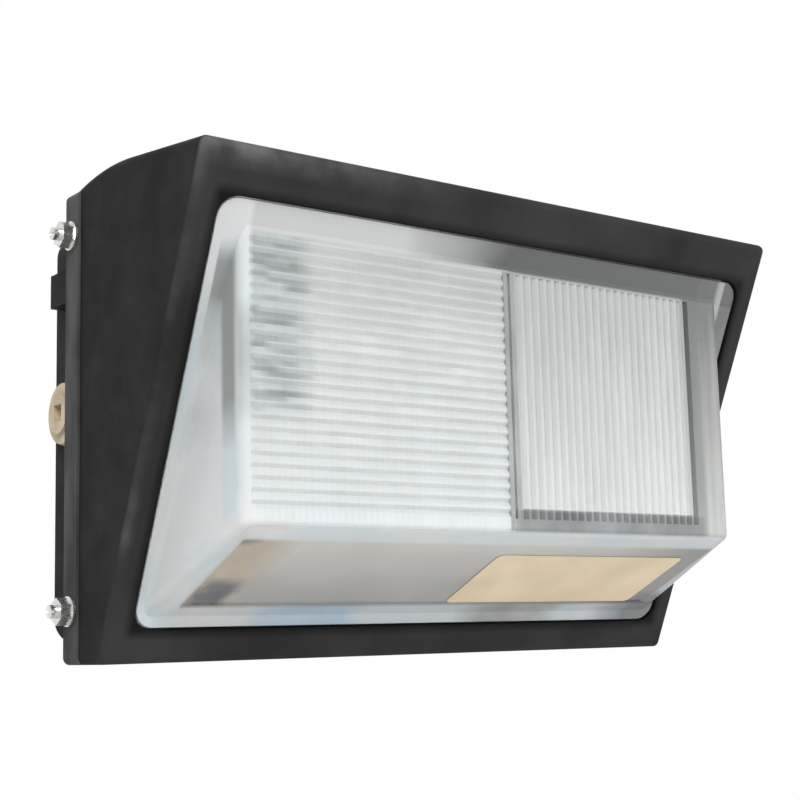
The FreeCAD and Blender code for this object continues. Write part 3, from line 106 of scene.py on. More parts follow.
# Film on the underside
FILM_WIDE, FILM_LONG, FILM_THICK, FILM_CORNER = 0.15, 0.056, 0.0002, 0.004
FILM_ACROSS, FILM_DOWN = 0.08, 0.052

# Studio
IMAGE_PIXELS, FOCAL_PIXELS, SENSOR_WIDE = 800, 1549, 36
CAMERA_PLACE = Vector((-0.568, -0.807, -0.1175))
CAMERA_YAW, CAMERA_PITCH, CAMERA_ROLL = math.radians(37.47), math.radians(8.72), math.radians(-1.47)
FLOOR_HALF, FLOOR_HEIGHT = 2, -0.6
SURROUND_LIGHT, SURROUND_WHITE = 0.55, 1
LAMP_AIM = Vector((0, -0.1, 0))


# Node helpers: every pattern reads Object coordinates. At scale 1, a wave pattern runs through 20 radians
# per metre.
WAVE_RADIANS = 20


def new_finish(name, colour, roughness, metallic=0.0):
    material = bpy.data.materials.new(name)
    material.use_nodes = True
    shader = material.node_tree.nodes["Principled BSDF"]
    shader.inputs["Base Color"].default_value = (*colour, 1)
    shader.inputs["Roughness"].default_value = roughness
    shader.inputs["Metallic"].default_value = metallic
    return material, material.node_tree, shader


def place_on_object(tree, stretch=(1, 1, 1)):
    where = tree.nodes.new("ShaderNodeTexCoord")
    mapping = tree.nodes.new("ShaderNodeMapping")
    mapping.inputs["Scale"].default_value = stretch
    tree.links.new(where.outputs["Object"], mapping.inputs["Vector"])
    return mapping.outputs["Vector"]


def cloud(tree, scale, detail=4, stretch=(1, 1, 1)):
    noise = tree.nodes.new("ShaderNodeTexNoise")
    noise.inputs["Scale"].default_value = scale
    noise.inputs["Detail"].default_value = detail
    tree.links.new(place_on_object(tree, stretch), noise.inputs["Vector"])
    return noise.outputs["Fac"]


def between(tree, value, low, high, start=0.3, end=0.7):
    """Spread a pattern's middle range over the numbers from low to high."""
    spread = tree.nodes.new("ShaderNodeMapRange")
    for socket, number in zip(("From Min", "From Max", "To Min", "To Max"), (start, end, low, high)):
        spread.inputs[socket].default_value = number
    tree.links.new(value, spread.inputs["Value"])
    return spread.outputs["Result"]


def rises(tree, value, start, end):
    """Nought up to the start, one from the end on."""
    return between(tree, value, 0, 1, start, end)


def falls(tree, value, start, end):
    """One up to the start, nought from the end on."""
    return between(tree, value, 1, 0, start, end)


def blend_colours(tree, value, first, second, start=0.35, end=0.65):
    ramp = tree.nodes.new("ShaderNodeValToRGB")
    ramp.color_ramp.elements[0].position = start
    ramp.color_ramp.elements[0].color = (*first, 1)
    ramp.color_ramp.elements[1].position = end
    ramp.color_ramp.elements[1].color = (*second, 1)
    tree.links.new(value, ramp.inputs["Fac"])
    return ramp.outputs["Color"]


def fade_colours(tree, step, first, second):
    """The first colour where the step is nought, the second where it is one."""
    return blend_colours(tree, step, first, second, 0, 1)


def patches(tree, scale, first, second, detail=3):
    """Two colours in soft patches."""
    return blend_colours(tree, cloud(tree, scale, detail), first, second)


def mottle(tree, shader, first, second, scale, stretch=(1, 1, 1)):
    colour = blend_colours(tree, cloud(tree, scale, 5, stretch), first, second)
    tree.links.new(colour, shader.inputs["Base Color"])


def uneven_gloss(tree, shader, low, high, scale, stretch=(1, 1, 1)):
    tree.links.new(between(tree, cloud(tree, scale, 3, stretch), low, high), shader.inputs["Roughness"])


def raise_surface(tree, shader, height, strength, depth):
    bump = tree.nodes.new("ShaderNodeBump")
    bump.inputs["Strength"].default_value = strength
    bump.inputs["Distance"].default_value = depth
    tree.links.new(height, bump.inputs["Height"])
    if shader.inputs["Normal"].is_linked:
        tree.links.new(shader.inputs["Normal"].links[0].from_socket, bump.inputs["Normal"])
    tree.links.new(bump.outputs["Normal"], shader.inputs["Normal"])


def ribs(tree, axis, pitch):
    """Rounded ribs across one axis."""
    wave = tree.nodes.new("ShaderNodeTexWave")
    wave.wave_type = "BANDS"
    wave.bands_direction = axis
    wave.wave_profile = "SIN"
    wave.inputs["Scale"].default_value = math.tau / WAVE_RADIANS / pitch
    tree.links.new(place_on_object(tree), wave.inputs["Vector"])
    return wave.outputs["Fac"]


def axis_value(tree, axis):
    split = tree.nodes.new("ShaderNodeSeparateXYZ")
    where = tree.nodes.new("ShaderNodeTexCoord")
    tree.links.new(where.outputs["Object"], split.inputs["Vector"])
    return split.outputs[axis]


def times(tree, first, second):
    product = tree.nodes.new("ShaderNodeMath")
    product.operation = "MULTIPLY"
    tree.links.new(first, product.inputs[0])
    tree.links.new(second, product.inputs[1])
    return product.outputs["Value"]


def within(tree, value, start, end, soft):
    """One from start to end, fading to nought over a soft width beyond them."""
    return times(tree, rises(tree, value, start - soft, start), falls(tree, value, end, end + soft))


def above(tree, value, floor, soft):
    """Nought under a floor that may differ from place to place, one from a soft width over it."""
    over = tree.nodes.new("ShaderNodeMath")
    over.operation = "SUBTRACT"
    tree.links.new(value, over.inputs[0])
    tree.links.new(floor, over.inputs[1])
    return rises(tree, over.outputs["Value"], 0, soft)


def distance_over(tree, point, normal):
    """How far a place on the object is over the plane through a point."""
    where = tree.nodes.new("ShaderNodeTexCoord")
    offset = tree.nodes.new("ShaderNodeVectorMath")
    offset.operation = "SUBTRACT"
    offset.inputs[1].default_value = point
    dot = tree.nodes.new("ShaderNodeVectorMath")
    dot.operation = "DOT_PRODUCT"
    dot.inputs[1].default_value = normal
    tree.links.new(where.outputs["Object"], offset.inputs[0])
    tree.links.new(offset.outputs["Vector"], dot.inputs[0])
    return dot.outputs["Value"]


def paint_over(tree, colour, mask, coat):
    """Lay a second colour over a first where the mask is one."""
    mix = tree.nodes.new("ShaderNodeMix")
    mix.data_type = "RGBA"
    tree.links.new(mask, mix.inputs["Factor"])
    tree.links.new(colour, mix.inputs["A"])
    tree.links.new(coat, mix.inputs["B"])
    return mix.outputs["Result"]


def change_where(tree, value, mask, amount):
    """Add an amount to a number where the mask is one."""
    change = tree.nodes.new("ShaderNodeMath")
    change.operation = "MULTIPLY_ADD"
    change.inputs[1].default_value = amount
    tree.links.new(mask, change.inputs[0])
    tree.links.new(value, change.inputs[2])
    return change.outputs["Value"]


# Finishes

def bronze_powder_coat():
    """Near-black satin coat, with painted light on the fascia, a painted highlight on the rear rim, painted
    highlights on the brow and side edges, and painted shade round the window.
    """
    material, tree, shader = new_finish("bronze_powder_coat", (0.018, 0.017, 0.0174), roughness=0.6)
    shader.inputs["Specular IOR Level"].default_value = 0.05
    across, depth = axis_value(tree, "X"), axis_value(tree, "Y")
    up_fascia = distance_over(tree, FASCIA_POINT, FASCIA_RISE)
    rear_rim = within(tree, depth, *REAR_RIM)
    on_fascia = rises(tree, distance_over(tree, FASCIA_POINT, FASCIA_NORMAL), *FASCIA_SKIN)
    by_window = times(tree, within(tree, across, *WINDOW_ACROSS), within(tree, up_fascia, *WINDOW_UP))
    brow_edge = times(tree, rises(tree, up_fascia, *BROW_HIGHLIGHT_UP), falls(tree, across, *BROW_HIGHLIGHT_ACROSS))
    side_edge = times(tree, between(tree, across, 0.5, 0, *SIDE_HIGHLIGHT_ACROSS),
                      rises(tree, cloud(tree, 22), start=0.4, end=0.75))
    coat = patches(tree, 26, (0.0145, 0.0135, 0.014), (0.023, 0.0215, 0.0215), detail=5)
    # The fascia is painted lighter than the sides: painted light, as its sloping face catches more of the
    # lamps.
    lit_fascia_coat = patches(tree, 14, (0.02, 0.02, 0.0205), (0.036, 0.036, 0.0365), detail=4)
    # The rear rim is painted lighter: a painted highlight where its step catches the light.
    rim_highlight_patches = cloud(tree, 60, stretch=(1, 1, 0.3))
    rim_highlight = blend_colours(tree, rim_highlight_patches, (0.045, 0.044, 0.044), (0.09, 0.088, 0.087))
    # Painted shade: a dark band on the fascia round the window's edge.
    window_shade = patches(tree, 30, (0.005, 0.0048, 0.0048), (0.008, 0.0077, 0.0077))
    # Painted highlights along the brow's top edge and down the side's front edge.
    hood_edge_highlight = patches(tree, 45, (0.05, 0.05, 0.05), (0.13, 0.13, 0.128), detail=4)
    colour = paint_over(tree, coat, rear_rim, rim_highlight)
    colour = paint_over(tree, colour, on_fascia, lit_fascia_coat)
    for edge, edge_coat in ((by_window, window_shade), (brow_edge, hood_edge_highlight), (side_edge, hood_edge_highlight)):
        colour = paint_over(tree, colour, times(tree, on_fascia, edge), edge_coat)
    tree.links.new(colour, shader.inputs["Base Color"])
    uneven_gloss(tree, shader, low=0.52, high=0.66, scale=60)
    raise_surface(tree, shader, cloud(tree, 1500, 2), strength=0.18, depth=0.0003)
    raise_surface(tree, shader, cloud(tree, 90, 3), strength=0.06, depth=0.0012)
    return material


def prism_face(tree, height):
    """The number of a prism's face from the lowest up: even ones look up, odd ones look down."""
    face = tree.nodes.new("ShaderNodeMath")
    face.operation = "FLOOR"
    tree.links.new(between(tree, height, 0, PRISM_FACES, PRISMS_LOW, PRISMS_HIGH), face.inputs[0])
    return face.outputs["Value"]


def looks_down(tree, face):
    odd = tree.nodes.new("ShaderNodeMath")
    odd.operation = "MODULO"
    odd.inputs[1].default_value = 2
    tree.links.new(face, odd.inputs[0])
    return odd.outputs["Value"]


def prism_streaks(tree, across, face):
    """A pattern of its own along each face of each prism: long patches across, a new row on each face."""
    place = tree.nodes.new("ShaderNodeCombineXYZ")
    tree.links.new(across, place.inputs["X"])
    tree.links.new(face, place.inputs["Z"])
    spread = tree.nodes.new("ShaderNodeMapping")
    spread.inputs["Scale"].default_value = STREAK_SPREAD
    tree.links.new(place.outputs["Vector"], spread.inputs["Vector"])
    noise = tree.nodes.new("ShaderNodeTexNoise")
    noise.inputs["Scale"].default_value = 1
    noise.inputs["Detail"].default_value = 2
    tree.links.new(spread.outputs["Vector"], noise.inputs["Vector"])
    return noise.outputs["Fac"]


def panel_zones(tree, across, height, front):
    """Masks for the two panels of the glass front and the marks on them, painted light and shade among them.
    """
    left_of_seam = falls(tree, across, *LEFT_OF_SEAM)
    panels_low = between(tree, left_of_seam, FLUTES_LOW, BREAK_HEIGHT, 0, 1)
    prisms = times(tree, times(tree, front, within(tree, across, *PANELS_ACROSS)),
                   times(tree, above(tree, height, panels_low, PANELS_FOOT_FADE),
                         falls(tree, height, *PANELS_TOP)))
    left_prisms = times(tree, left_of_seam, prisms)
    face = prism_face(tree, height)
    streaks = prism_streaks(tree, across, face)
    rise = rises(tree, height, PRISMS_LOW, PRISMS_HIGH)
    head_rise = change_where(tree, rise, cloud(tree, 24, 3, (1, 1, 0.5)), 0.3)
    # The prism faces that look down, painted lighter to even out their shade.
    lower_faces = times(tree, looks_down(tree, face),
                        between(tree, cloud(tree, 18, 3), low=0.3, high=0.9, start=0.4, end=0.6))
    # Lighter dashes along the prism faces: painted light that breaks up their shading.
    light_dashes = times(tree, between(tree, streaks, low=0.85, high=0, start=0.36, end=0.5),
                         between(tree, across, 0.3, 1, *LIGHT_DASHES_ACROSS))
    cool_strip = times(tree, left_prisms, times(tree, between(tree, across, 0.75, 0, *COOL_STRIP_ACROSS),
                                                rises(tree, height, *COOL_STRIP_UP)))
    # Painted shade over the top of the left panel.
    left_top_shade = between(tree, head_rise, low=0, high=0.85, start=0.8, end=1.1)
    # Darker dashes along the prism faces: painted shade.
    dark_dashes = between(tree, streaks, low=0, high=1.3, start=0.49, end=0.57)
    return {
        "prisms": prisms,
        "left_prisms": left_prisms,
        "light_dashes": times(tree, left_prisms, light_dashes),
        "left_top_shade": times(tree, left_prisms, left_top_shade),
        "lower_faces": times(tree, left_prisms, lower_faces),
        "cool_strip": cool_strip,
        "dark_dashes": times(tree, cool_strip, dark_dashes),
        "seam": times(tree, within(tree, across, *SEAM), prisms),
        "under_flutes": times(tree, within(tree, across, *UNDER_FLUTES_ACROSS),
                              times(tree, front, within(tree, height, *UNDER_FLUTES_UP))),
        "right_margin": times(tree, front, within(tree, across, *RIGHT_MARGIN)),
    }


def underside_zones(tree, across, depth, height, over_underside):
    """Masks for the break under the front, and for the underside and the soft patches on it."""
    down_underside = distance_over(tree, UNDERSIDE_EDGE, UNDERSIDE_SLOPE)
    underside = times(tree, falls(tree, over_underside, *UNDERSIDE_SKIN), rises(tree, depth, *FRONT_SKIN))
    wavy_across = change_where(tree, across, cloud(tree, 70, 3), SPOT_WAVER)
    wavy_down = change_where(tree, down_underside, cloud(tree, 55, 3), SPOT_WAVER)
    zones = {
        "underside": underside,
        "socket_end": times(tree, underside, within(tree, across, *SOCKET_END)),
        "break_edge": times(tree, falls(tree, height, *BREAK_TOP), within(tree, depth, *BREAK_DEPTH)),
    }
    for name, spot in UNDERSIDE_SPOTS.items():
        patch = times(tree, within(tree, wavy_across, *spot["across"]),
                      within(tree, wavy_down, *spot["down"]))
        zones[name] = times(tree, underside, patch)
    return zones


def glass_zones(tree):
    """Masks for the parts of the refractor that differ in colour or gloss."""
    across, depth, height = (axis_value(tree, axis) for axis in "XYZ")
    front = falls(tree, depth, *FRONT_SKIN)
    left_end = falls(tree, across, *LEFT_END)
    on_rim = rises(tree, distance_over(tree, FASCIA_POINT, FASCIA_NORMAL), *RIM_SKIN)
    over_underside = distance_over(tree, UNDERSIDE_ROOT, UNDERSIDE_NORMAL)
    return {
        **panel_zones(tree, across, height, front),
        **underside_zones(tree, across, depth, height, over_underside),
        "top": rises(tree, height, *PANELS_TOP),
        "left_end": left_end,
        "right_end": within(tree, across, *RIGHT_END),
        "behind_left_edge": times(tree, left_end, within(tree, depth, *BEHIND_LEFT_EDGE)),
        "left_edge": times(tree, left_end, front),
        "low_left_edge": times(tree, left_end, within(tree, over_underside, *LOW_LEFT_EDGE)),
        "left_rim": times(tree, on_rim, falls(tree, across, *LEFT_RIM)),
        "foot_rim": times(tree, on_rim, falls(tree, height, *FOOT_RIM)),
    }


def foot_rim_coat(tree, across, bright, grey):
    """Rim painted bright as a highlight, with a cool stretch and a stretch of painted shade, grey at its
    right end.
    """
    along = change_where(tree, across, cloud(tree, 40, 3), 0.02)
    cool = patches(tree, 40, (0.62, 0.82, 0.98), (0.74, 0.88, 0.99))
    shaded = patches(tree, 40, (0.5, 0.52, 0.51), (0.66, 0.68, 0.67))
    colour = paint_over(tree, bright, within(tree, along, *FOOT_COOL), cool)
    colour = paint_over(tree, colour, within(tree, along, *FOOT_SHADED), shaded)
    return paint_over(tree, colour, rises(tree, across, *FOOT_GREY), grey)


def glass_colour(tree, zones):
    """Grey glass with a coat on each zone; where zones overlap, the later coat covers the earlier one."""
    across, height = axis_value(tree, "X"), axis_value(tree, "Z")
    down_underside = distance_over(tree, UNDERSIDE_EDGE, UNDERSIDE_SLOPE)
    rise = rises(tree, height, PRISMS_LOW, PRISMS_HIGH)
    # Painted light: the panels are lighter low down and darker towards the top.
    panel_step = rises(tree, change_where(tree, rise, cloud(tree, 30, 5, (2.5, 1, 0.5)), 0.9), 0.15, 1.3)
    end_step = rises(tree, change_where(tree, rise, cloud(tree, 38, 5), 1.6), 0.95, 2.1)
    streak_step = rises(tree, change_where(tree, rise, cloud(tree, 45, 3, (3, 1, 0.2)), 0.8), 0.3, 1.4)
    # Painted shadow of the brow: the glass above the panels darkens towards the right.
    top_step = rises(tree, change_where(tree, across, cloud(tree, 25, 3), 0.04), *TOP_SHADOW_ACROSS)
    # Painted shade on the left end behind its front edge, over its upper part.
    edge_step = rises(tree, change_where(tree, height, cloud(tree, 50, 3), 0.02), *DARK_BEHIND_EDGE_UP)
    down_step = rises(
        tree, change_where(tree, down_underside, cloud(tree, 20, 3), 0.04), *UNDERSIDE_GREY_DOWN)
    down_step = change_where(tree, down_step, rises(tree, across, *UNDERSIDE_GREY_ACROSS), 0.9)
    grey = fade_colours(tree, streak_step, (0.38, 0.41, 0.41), (0.1, 0.11, 0.11))
    # Painted highlights on the rounded edges of the glass: the break, the left edges, the left rim and the
    # foot rim.
    bright = patches(tree, 24, (0.86, 0.96, 1), (1, 1, 1))
    # Painted shade over the middle of the left edge's highlight.
    edge_shade = patches(tree, 40, (0.64, 0.68, 0.68), (0.8, 0.84, 0.84))
    coats = {
        "top": fade_colours(tree, top_step, (0.78, 0.8, 0.79), (0.1, 0.105, 0.105)),
        "underside": fade_colours(tree, down_step, (0.93, 0.9, 0.84), (0.42, 0.42, 0.41)),
        "socket_end": patches(tree, 30, (0.6, 0.53, 0.44), (0.74, 0.63, 0.47)),
        "small_spot": patches(tree, 60, (0.2, 0.2, 0.19), (0.3, 0.3, 0.29)),
        "large_spot": patches(tree, 50, (0.14, 0.14, 0.15), (0.24, 0.24, 0.25)),
        "right_end": fade_colours(tree, end_step, (0.8, 0.84, 0.84), (0.36, 0.38, 0.38)),
        "right_spot": patches(tree, 50, (0.18, 0.18, 0.2), (0.28, 0.28, 0.3)),
        "under_flutes": patches(tree, 30, (0.2, 0.22, 0.22), (0.34, 0.36, 0.36)),
        "right_margin": fade_colours(tree, streak_step, (0.72, 0.73, 0.7), (0.12, 0.13, 0.13)),
        # Painted light: the frosted left end is painted near white for the light that comes through it,
        # darker towards the top.
        "left_end": fade_colours(tree, end_step, (0.97, 1, 1), (0.6, 0.64, 0.64)),
        "behind_left_edge": fade_colours(tree, edge_step, (0.86, 0.95, 1), (0.43, 0.455, 0.45)),
        "prisms": fade_colours(tree, panel_step, (0.97, 1, 1), (0.66, 0.7, 0.69)),
        "left_prisms": fade_colours(tree, panel_step, (0.94, 0.99, 1), (0.8, 0.83, 0.82)),
        "light_dashes": patches(tree, 30, (0.9, 0.94, 0.95), (0.96, 0.98, 0.98)),
        "left_top_shade": patches(tree, 30, (0.62, 0.66, 0.66), (0.68, 0.72, 0.71)),
        "lower_faces": fade_colours(tree, panel_step, (0.95, 0.98, 0.99), (0.84, 0.87, 0.85)),
        "cool_strip": patches(tree, 30, (0.6, 0.66, 0.67), (0.76, 0.81, 0.82)),
        "dark_dashes": patches(tree, 30, (0.4, 0.42, 0.42), (0.56, 0.59, 0.59)),
        "seam": patches(tree, 30, (0.36, 0.39, 0.39), (0.5, 0.53, 0.53)),
        "break_edge": bright,
        "left_edge": paint_over(tree, bright, within(tree, height, *SHADED_EDGE_UP), edge_shade),
        "low_left_edge": bright,
        "left_rim": bright,
        "foot_rim": foot_rim_coat(tree, across, bright, grey),
    }
    colour = grey
    for name, coat in coats.items():
        colour = paint_over(tree, colour, zones[name], coat)
    return colour


def prismatic_glass():
    """Pressed glass: whitened by its prisms over the front, with painted light and shade on the panels,
    frosted and painted bright at its left end, clear and grey round them and below, with painted highlights
    on its edges."""
    material, tree, shader = new_finish("prismatic_glass", (0.9, 0.93, 0.94), roughness=0.1)
    shader.inputs["IOR"].default_value = GLASS_IOR
    shader.inputs["Transmission Weight"].default_value = 0.5
    zones = glass_zones(tree)
    tree.links.new(glass_colour(tree, zones), shader.inputs["Base Color"])
    roughness = between(tree, cloud(tree, 40, 2), low=0.02, high=0.06)
    for name, frost in (("top", 0.3), ("prisms", 0.28), ("left_end", 0.4), ("foot_rim", 0.3)):
        roughness = change_where(tree, roughness, zones[name], frost)
    tree.links.new(roughness, shader.inputs["Roughness"])
    prism_ribs = times(tree, ribs(tree, "X", RIB_PITCH), zones["left_prisms"])
    raise_surface(tree, shader, prism_ribs, strength=0.25, depth=0.0005)
    raise_surface(tree, shader, cloud(tree, 160, 2), strength=0.06, depth=0.0008)
    return material


def clear_lamp_glass():
    material, tree, shader = new_finish("clear_lamp_glass", (0.97, 0.98, 0.98), roughness=0.02)
    shader.inputs["IOR"].default_value = GLASS_IOR
    shader.inputs["Transmission Weight"].default_value = 0.96
    uneven_gloss(tree, shader, low=0.01, high=0.05, scale=40)
    raise_surface(tree, shader, cloud(tree, 60, 2), strength=0.05, depth=0.0006)
    return material


def pale_silicone():
    material, tree, shader = new_finish("pale_silicone", (0.8, 0.8, 0.77), roughness=0.6)
    mottle(tree, shader, (0.74, 0.74, 0.71), (0.86, 0.86, 0.83), scale=120)
    raise_surface(tree, shader, cloud(tree, 900, 2), strength=0.15, depth=0.0002)
    return material


def black_rubber():
    material, tree, shader = new_finish("black_rubber", (0.02, 0.02, 0.02), roughness=0.75)
    mottle(tree, shader, (0.015, 0.015, 0.015), (0.03, 0.03, 0.03), scale=150)
    raise_surface(tree, shader, cloud(tree, 1200, 2), strength=0.2, depth=0.0002)
    return material


def bright_screw_steel():
    material, tree, shader = new_finish("bright_screw_steel", (0.75, 0.75, 0.73), roughness=0.28, metallic=1)
    mottle(tree, shader, (0.62, 0.62, 0.6), (0.85, 0.85, 0.84), scale=220)
    uneven_gloss(tree, shader, low=0.2, high=0.4, scale=500, stretch=(1, 4, 4))
    raise_surface(tree, shader, cloud(tree, 2500, 2, (0.2, 1, 1)), strength=0.15, depth=0.0001)
    return material


def zinc_plate():
    material, tree, shader = new_finish("zinc_plate", (0.55, 0.55, 0.52), roughness=0.35, metallic=1)
    mottle(tree, shader, (0.45, 0.46, 0.44), (0.66, 0.65, 0.58), scale=300)
    uneven_gloss(tree, shader, low=0.28, high=0.48, scale=250)
    return material


def tan_plastic():
    material, tree, shader = new_finish("tan_plastic", (0.5, 0.41, 0.28), roughness=0.5)
    mottle(tree, shader, (0.42, 0.35, 0.23), (0.58, 0.48, 0.34), scale=90)
    raise_surface(tree, shader, cloud(tree, 1400, 2), strength=0.12, depth=0.0002)
    return material


def hammered_aluminium():
    material, tree, shader = new_finish("hammered_aluminium", (0.86, 0.87, 0.87), roughness=0.28, metallic=1)
    mottle(tree, shader, (0.8, 0.81, 0.82), (0.92, 0.92, 0.92), scale=40)
    raise_surface(tree, shader, cloud(tree, 260, 1), strength=0.3, depth=0.0008)
    return material


def glazed_porcelain():
    material, tree, shader = new_finish("glazed_porcelain", (0.78, 0.74, 0.66), roughness=0.18)
    mottle(tree, shader, (0.7, 0.65, 0.56), (0.84, 0.8, 0.73), scale=70)
    raise_surface(tree, shader, cloud(tree, 200, 2), strength=0.06, depth=0.0005)
    return material


def nickelled_brass():
    material, tree, shader = new_finish("nickelled_brass", (0.68, 0.58, 0.36), roughness=0.3, metallic=1)
    mottle(tree, shader, (0.6, 0.5, 0.3), (0.74, 0.66, 0.46), scale=180)
    raise_surface(tree, shader, ribs(tree, "X", pitch=0.0036), strength=0.6, depth=0.0008)
    return material


def arc_tube_ceramic():
    material, tree, shader = new_finish("arc_tube_ceramic", (0.88, 0.87, 0.82), roughness=0.35)
    mottle(tree, shader, (0.8, 0.78, 0.72), (0.92, 0.91, 0.88), scale=140)
    return material


def laminated_iron():
    material, tree, shader = new_finish("laminated_iron", (0.1, 0.09, 0.085), roughness=0.45, metallic=0.6)
    mottle(tree, shader, (0.07, 0.065, 0.06), (0.15, 0.13, 0.11), scale=80)
    raise_surface(tree, shader, ribs(tree, "Y", pitch=0.001), strength=0.5, depth=0.0003)
    return material


def varnished_winding():
    material, tree, shader = new_finish("varnished_winding", (0.32, 0.16, 0.06), roughness=0.35)
    mottle(tree, shader, (0.24, 0.11, 0.04), (0.42, 0.23, 0.09), scale=160)
    raise_surface(tree, shader, ribs(tree, "Z", pitch=0.0012), strength=0.7, depth=0.0005)
    return material


def drawn_can():
    material, tree, shader = new_finish("drawn_can", (0.6, 0.6, 0.6), roughness=0.34, metallic=1)
    mottle(tree, shader, (0.52, 0.52, 0.52), (0.68, 0.68, 0.68), scale=60, stretch=(0.3, 1, 1))
    raise_surface(tree, shader, cloud(tree, 1200, 2, (0.05, 1, 1)), strength=0.15, depth=0.0001)
    return material


def potted_black():
    material, tree, shader = new_finish("potted_black", (0.03, 0.03, 0.033), roughness=0.4)
    mottle(tree, shader, (0.02, 0.02, 0.022), (0.045, 0.045, 0.048), scale=70)
    raise_surface(tree, shader, cloud(tree, 500, 2), strength=0.15, depth=0.0003)
    return material


def cream_moulding():
    material, tree, shader = new_finish("cream_moulding", (0.72, 0.68, 0.58), roughness=0.45)
    mottle(tree, shader, (0.66, 0.62, 0.52), (0.76, 0.73, 0.64), scale=90)
    return material


def green_ground_paint():
    material, tree, shader = new_finish("green_ground_paint", (0.04, 0.22, 0.08), roughness=0.35)
    mottle(tree, shader, (0.03, 0.18, 0.06), (0.06, 0.28, 0.11), scale=200)
    return material


def tan_film():
    material, tree, shader = new_finish("tan_film", (0.72, 0.58, 0.38), roughness=0.45)
    mottle(tree, shader, (0.67, 0.54, 0.35), (0.77, 0.63, 0.43), scale=24)
    raise_surface(tree, shader, cloud(tree, 60, 2), strength=0.1, depth=0.0005)
    return material


FINISHES = {
    bronze_powder_coat: ["hood", "back_housing"],
    prismatic_glass: ["refractor"],
    clear_lamp_glass: ["lamp_bulb"],
    pale_silicone: ["refractor_gasket"],
    black_rubber: ["housing_gasket", "plug_seals"],
    bright_screw_steel: ["hood_screw_upper", "hood_screw_lower", "upper_screw_washer", "lower_screw_washer"],
    zinc_plate: [
        "refractor_clips", "clip_screws", "hinge_pin_upper", "hinge_pin_lower", "reflector_screws",
        "socket_bracket", "socket_screws", "ballast_screws", "capacitor_strap", "strap_screws",
        "ignitor_screw"],
    tan_plastic: ["conduit_plug_left", "conduit_plug_right", "conduit_plug_top"],
    hammered_aluminium: ["reflector"],
    glazed_porcelain: ["lamp_socket"],
    nickelled_brass: ["socket_contacts", "lamp_base"],
    arc_tube_ceramic: ["lamp_arc_tube"],
    laminated_iron: ["ballast_core"],
    varnished_winding: ["ballast_coils"],
    drawn_can: ["capacitor"],
    potted_black: ["ignitor"],
    cream_moulding: ["terminal_block"],
    green_ground_paint: ["ground_screw"],
}
for make_finish, names in FINISHES.items():
    finish = make_finish()
    for name in names:
        nodes[name].material_slots[0].material = finish


# Film on the underside of the glass

def object_from(mesh_maker, name, material):
    mesh = bpy.data.meshes.new(name)
    mesh_maker.to_mesh(mesh)
    mesh_maker.free()
    piece = bpy.data.objects.new(name, mesh)
    piece.data.materials.append(material)
    bpy.context.scene.collection.objects.link(piece)
    return piece


def underside_film():
    """Plain rounded film that lies against the sloping underside of the refractor."""
    sheet = bmesh.new()
    bmesh.ops.create_grid(sheet, x_segments=1, y_segments=1, size=0.5)
    bmesh.ops.scale(sheet, vec=(FILM_WIDE, FILM_LONG, 1), verts=sheet.verts)
    bmesh.ops.bevel(sheet, geom=sheet.verts[:], offset=FILM_CORNER, segments=5, profile=0.5,
                    affect="VERTICES", material=-1)
    bmesh.ops.solidify(sheet, geom=sheet.faces[:], thickness=FILM_THICK)
    centre = (UNDERSIDE_EDGE + UNDERSIDE_SLOPE * FILM_DOWN - UNDERSIDE_NORMAL * FILM_THICK
              + Vector((FILM_ACROSS, 0, 0)))
    turn = Matrix((Vector((1, 0, 0)), UNDERSIDE_SLOPE, UNDERSIDE_NORMAL)).transposed().to_4x4()
    bmesh.ops.transform(sheet, matrix=Matrix.Translation(centre) @ turn, verts=sheet.verts)
    bmesh.ops.recalc_face_normals(sheet, faces=sheet.faces)
    film = object_from(sheet, "underside_film", tan_film())
    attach(film, "hood_assembly")


underside_film()


# Studio

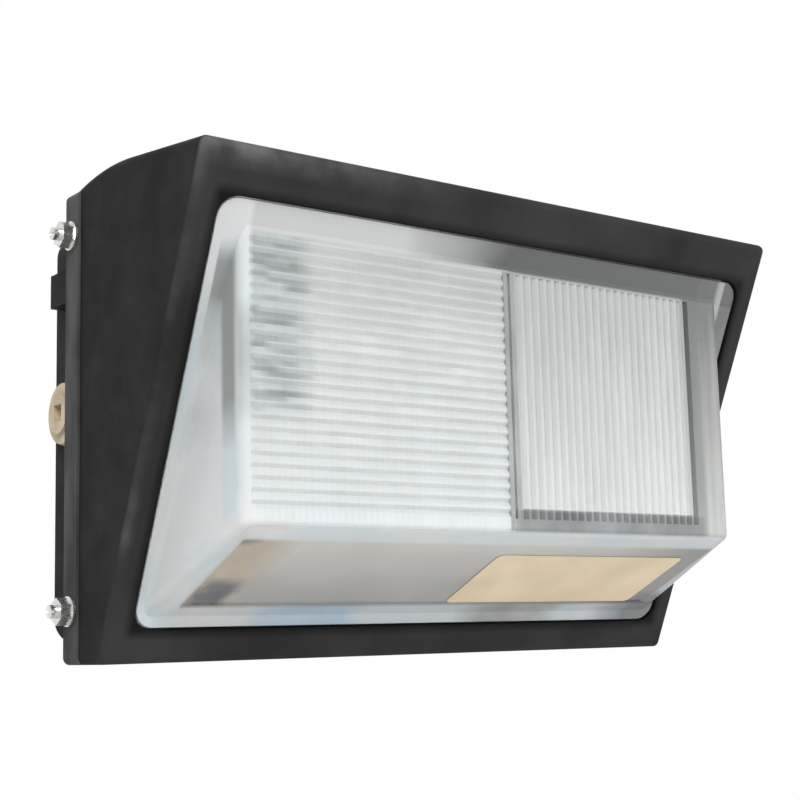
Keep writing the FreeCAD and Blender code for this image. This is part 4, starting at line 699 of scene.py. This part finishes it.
def photograph_camera():
    flat = math.cos(CAMERA_PITCH)
    ahead = Vector((math.sin(CAMERA_YAW) * flat, math.cos(CAMERA_YAW) * flat, math.sin(CAMERA_PITCH)))
    level = Vector((math.cos(CAMERA_YAW), -math.sin(CAMERA_YAW), 0))
    upright = level.cross(ahead)
    right = level * math.cos(CAMERA_ROLL) + upright * math.sin(CAMERA_ROLL)
    up = upright * math.cos(CAMERA_ROLL) - level * math.sin(CAMERA_ROLL)
    camera = bpy.data.objects.new("photograph_camera", bpy.data.cameras.new("photograph_camera"))
    turn = Matrix((right, up, -ahead)).transposed().to_4x4()
    camera.matrix_world = Matrix.Translation(CAMERA_PLACE) @ turn
    camera.data.sensor_width = SENSOR_WIDE
    camera.data.lens = SENSOR_WIDE * FOCAL_PIXELS / IMAGE_PIXELS
    bpy.context.scene.collection.objects.link(camera)
    bpy.context.scene.camera = camera


def pale_floor():
    sheet = bmesh.new()
    bmesh.ops.create_grid(sheet, x_segments=1, y_segments=1, size=FLOOR_HALF)
    bmesh.ops.translate(sheet, vec=(0, 0, FLOOR_HEIGHT), verts=sheet.verts)
    material, tree, shader = new_finish("pale_floor", (0.85, 0.85, 0.85), roughness=0.9)
    mottle(tree, shader, (0.84, 0.84, 0.84), (0.86, 0.86, 0.86), scale=3)
    object_from(sheet, "pale_floor", material)


def seen_directly(tree):
    """One for rays from the camera, and for those that mirrors and glass send on; nought for lighting."""
    path = tree.nodes.new("ShaderNodeLightPath")
    either = path.outputs["Is Camera Ray"]
    for name in ("Is Glossy Ray", "Is Transmission Ray"):
        larger = tree.nodes.new("ShaderNodeMath")
        larger.operation = "MAXIMUM"
        tree.links.new(either, larger.inputs[0])
        tree.links.new(path.outputs[name], larger.inputs[1])
        either = larger.outputs["Value"]
    return either


def white_surround():
    world = bpy.data.worlds.new("white_surround")
    bpy.context.scene.world = world
    world.use_nodes = True
    tree = world.node_tree
    background = tree.nodes["Background"]
    background.inputs["Color"].default_value = (1, 1, 1, 1)
    strength = between(tree, seen_directly(tree), SURROUND_LIGHT, SURROUND_WHITE, 0, 1)
    tree.links.new(strength, background.inputs["Strength"])


def soft_lamp(name, place, size, watts):
    lamp = bpy.data.objects.new(name, bpy.data.lights.new(name, "AREA"))
    lamp.data.size = size
    lamp.data.energy = watts
    lamp.location = place
    lamp.rotation_mode = "QUATERNION"
    lamp.rotation_quaternion = (LAMP_AIM - Vector(place)).to_track_quat("-Z", "Y")
    bpy.context.scene.collection.objects.link(lamp)


photograph_camera()
pale_floor()
white_surround()
soft_lamp("key_lamp", place=(-1.4, -1.8, 1.5), size=1.2, watts=52)
soft_lamp("fill_lamp", place=(1.2, -1.3, -0.1), size=1.3, watts=12)
bpy.context.scene.view_settings.view_transform = "Standard"
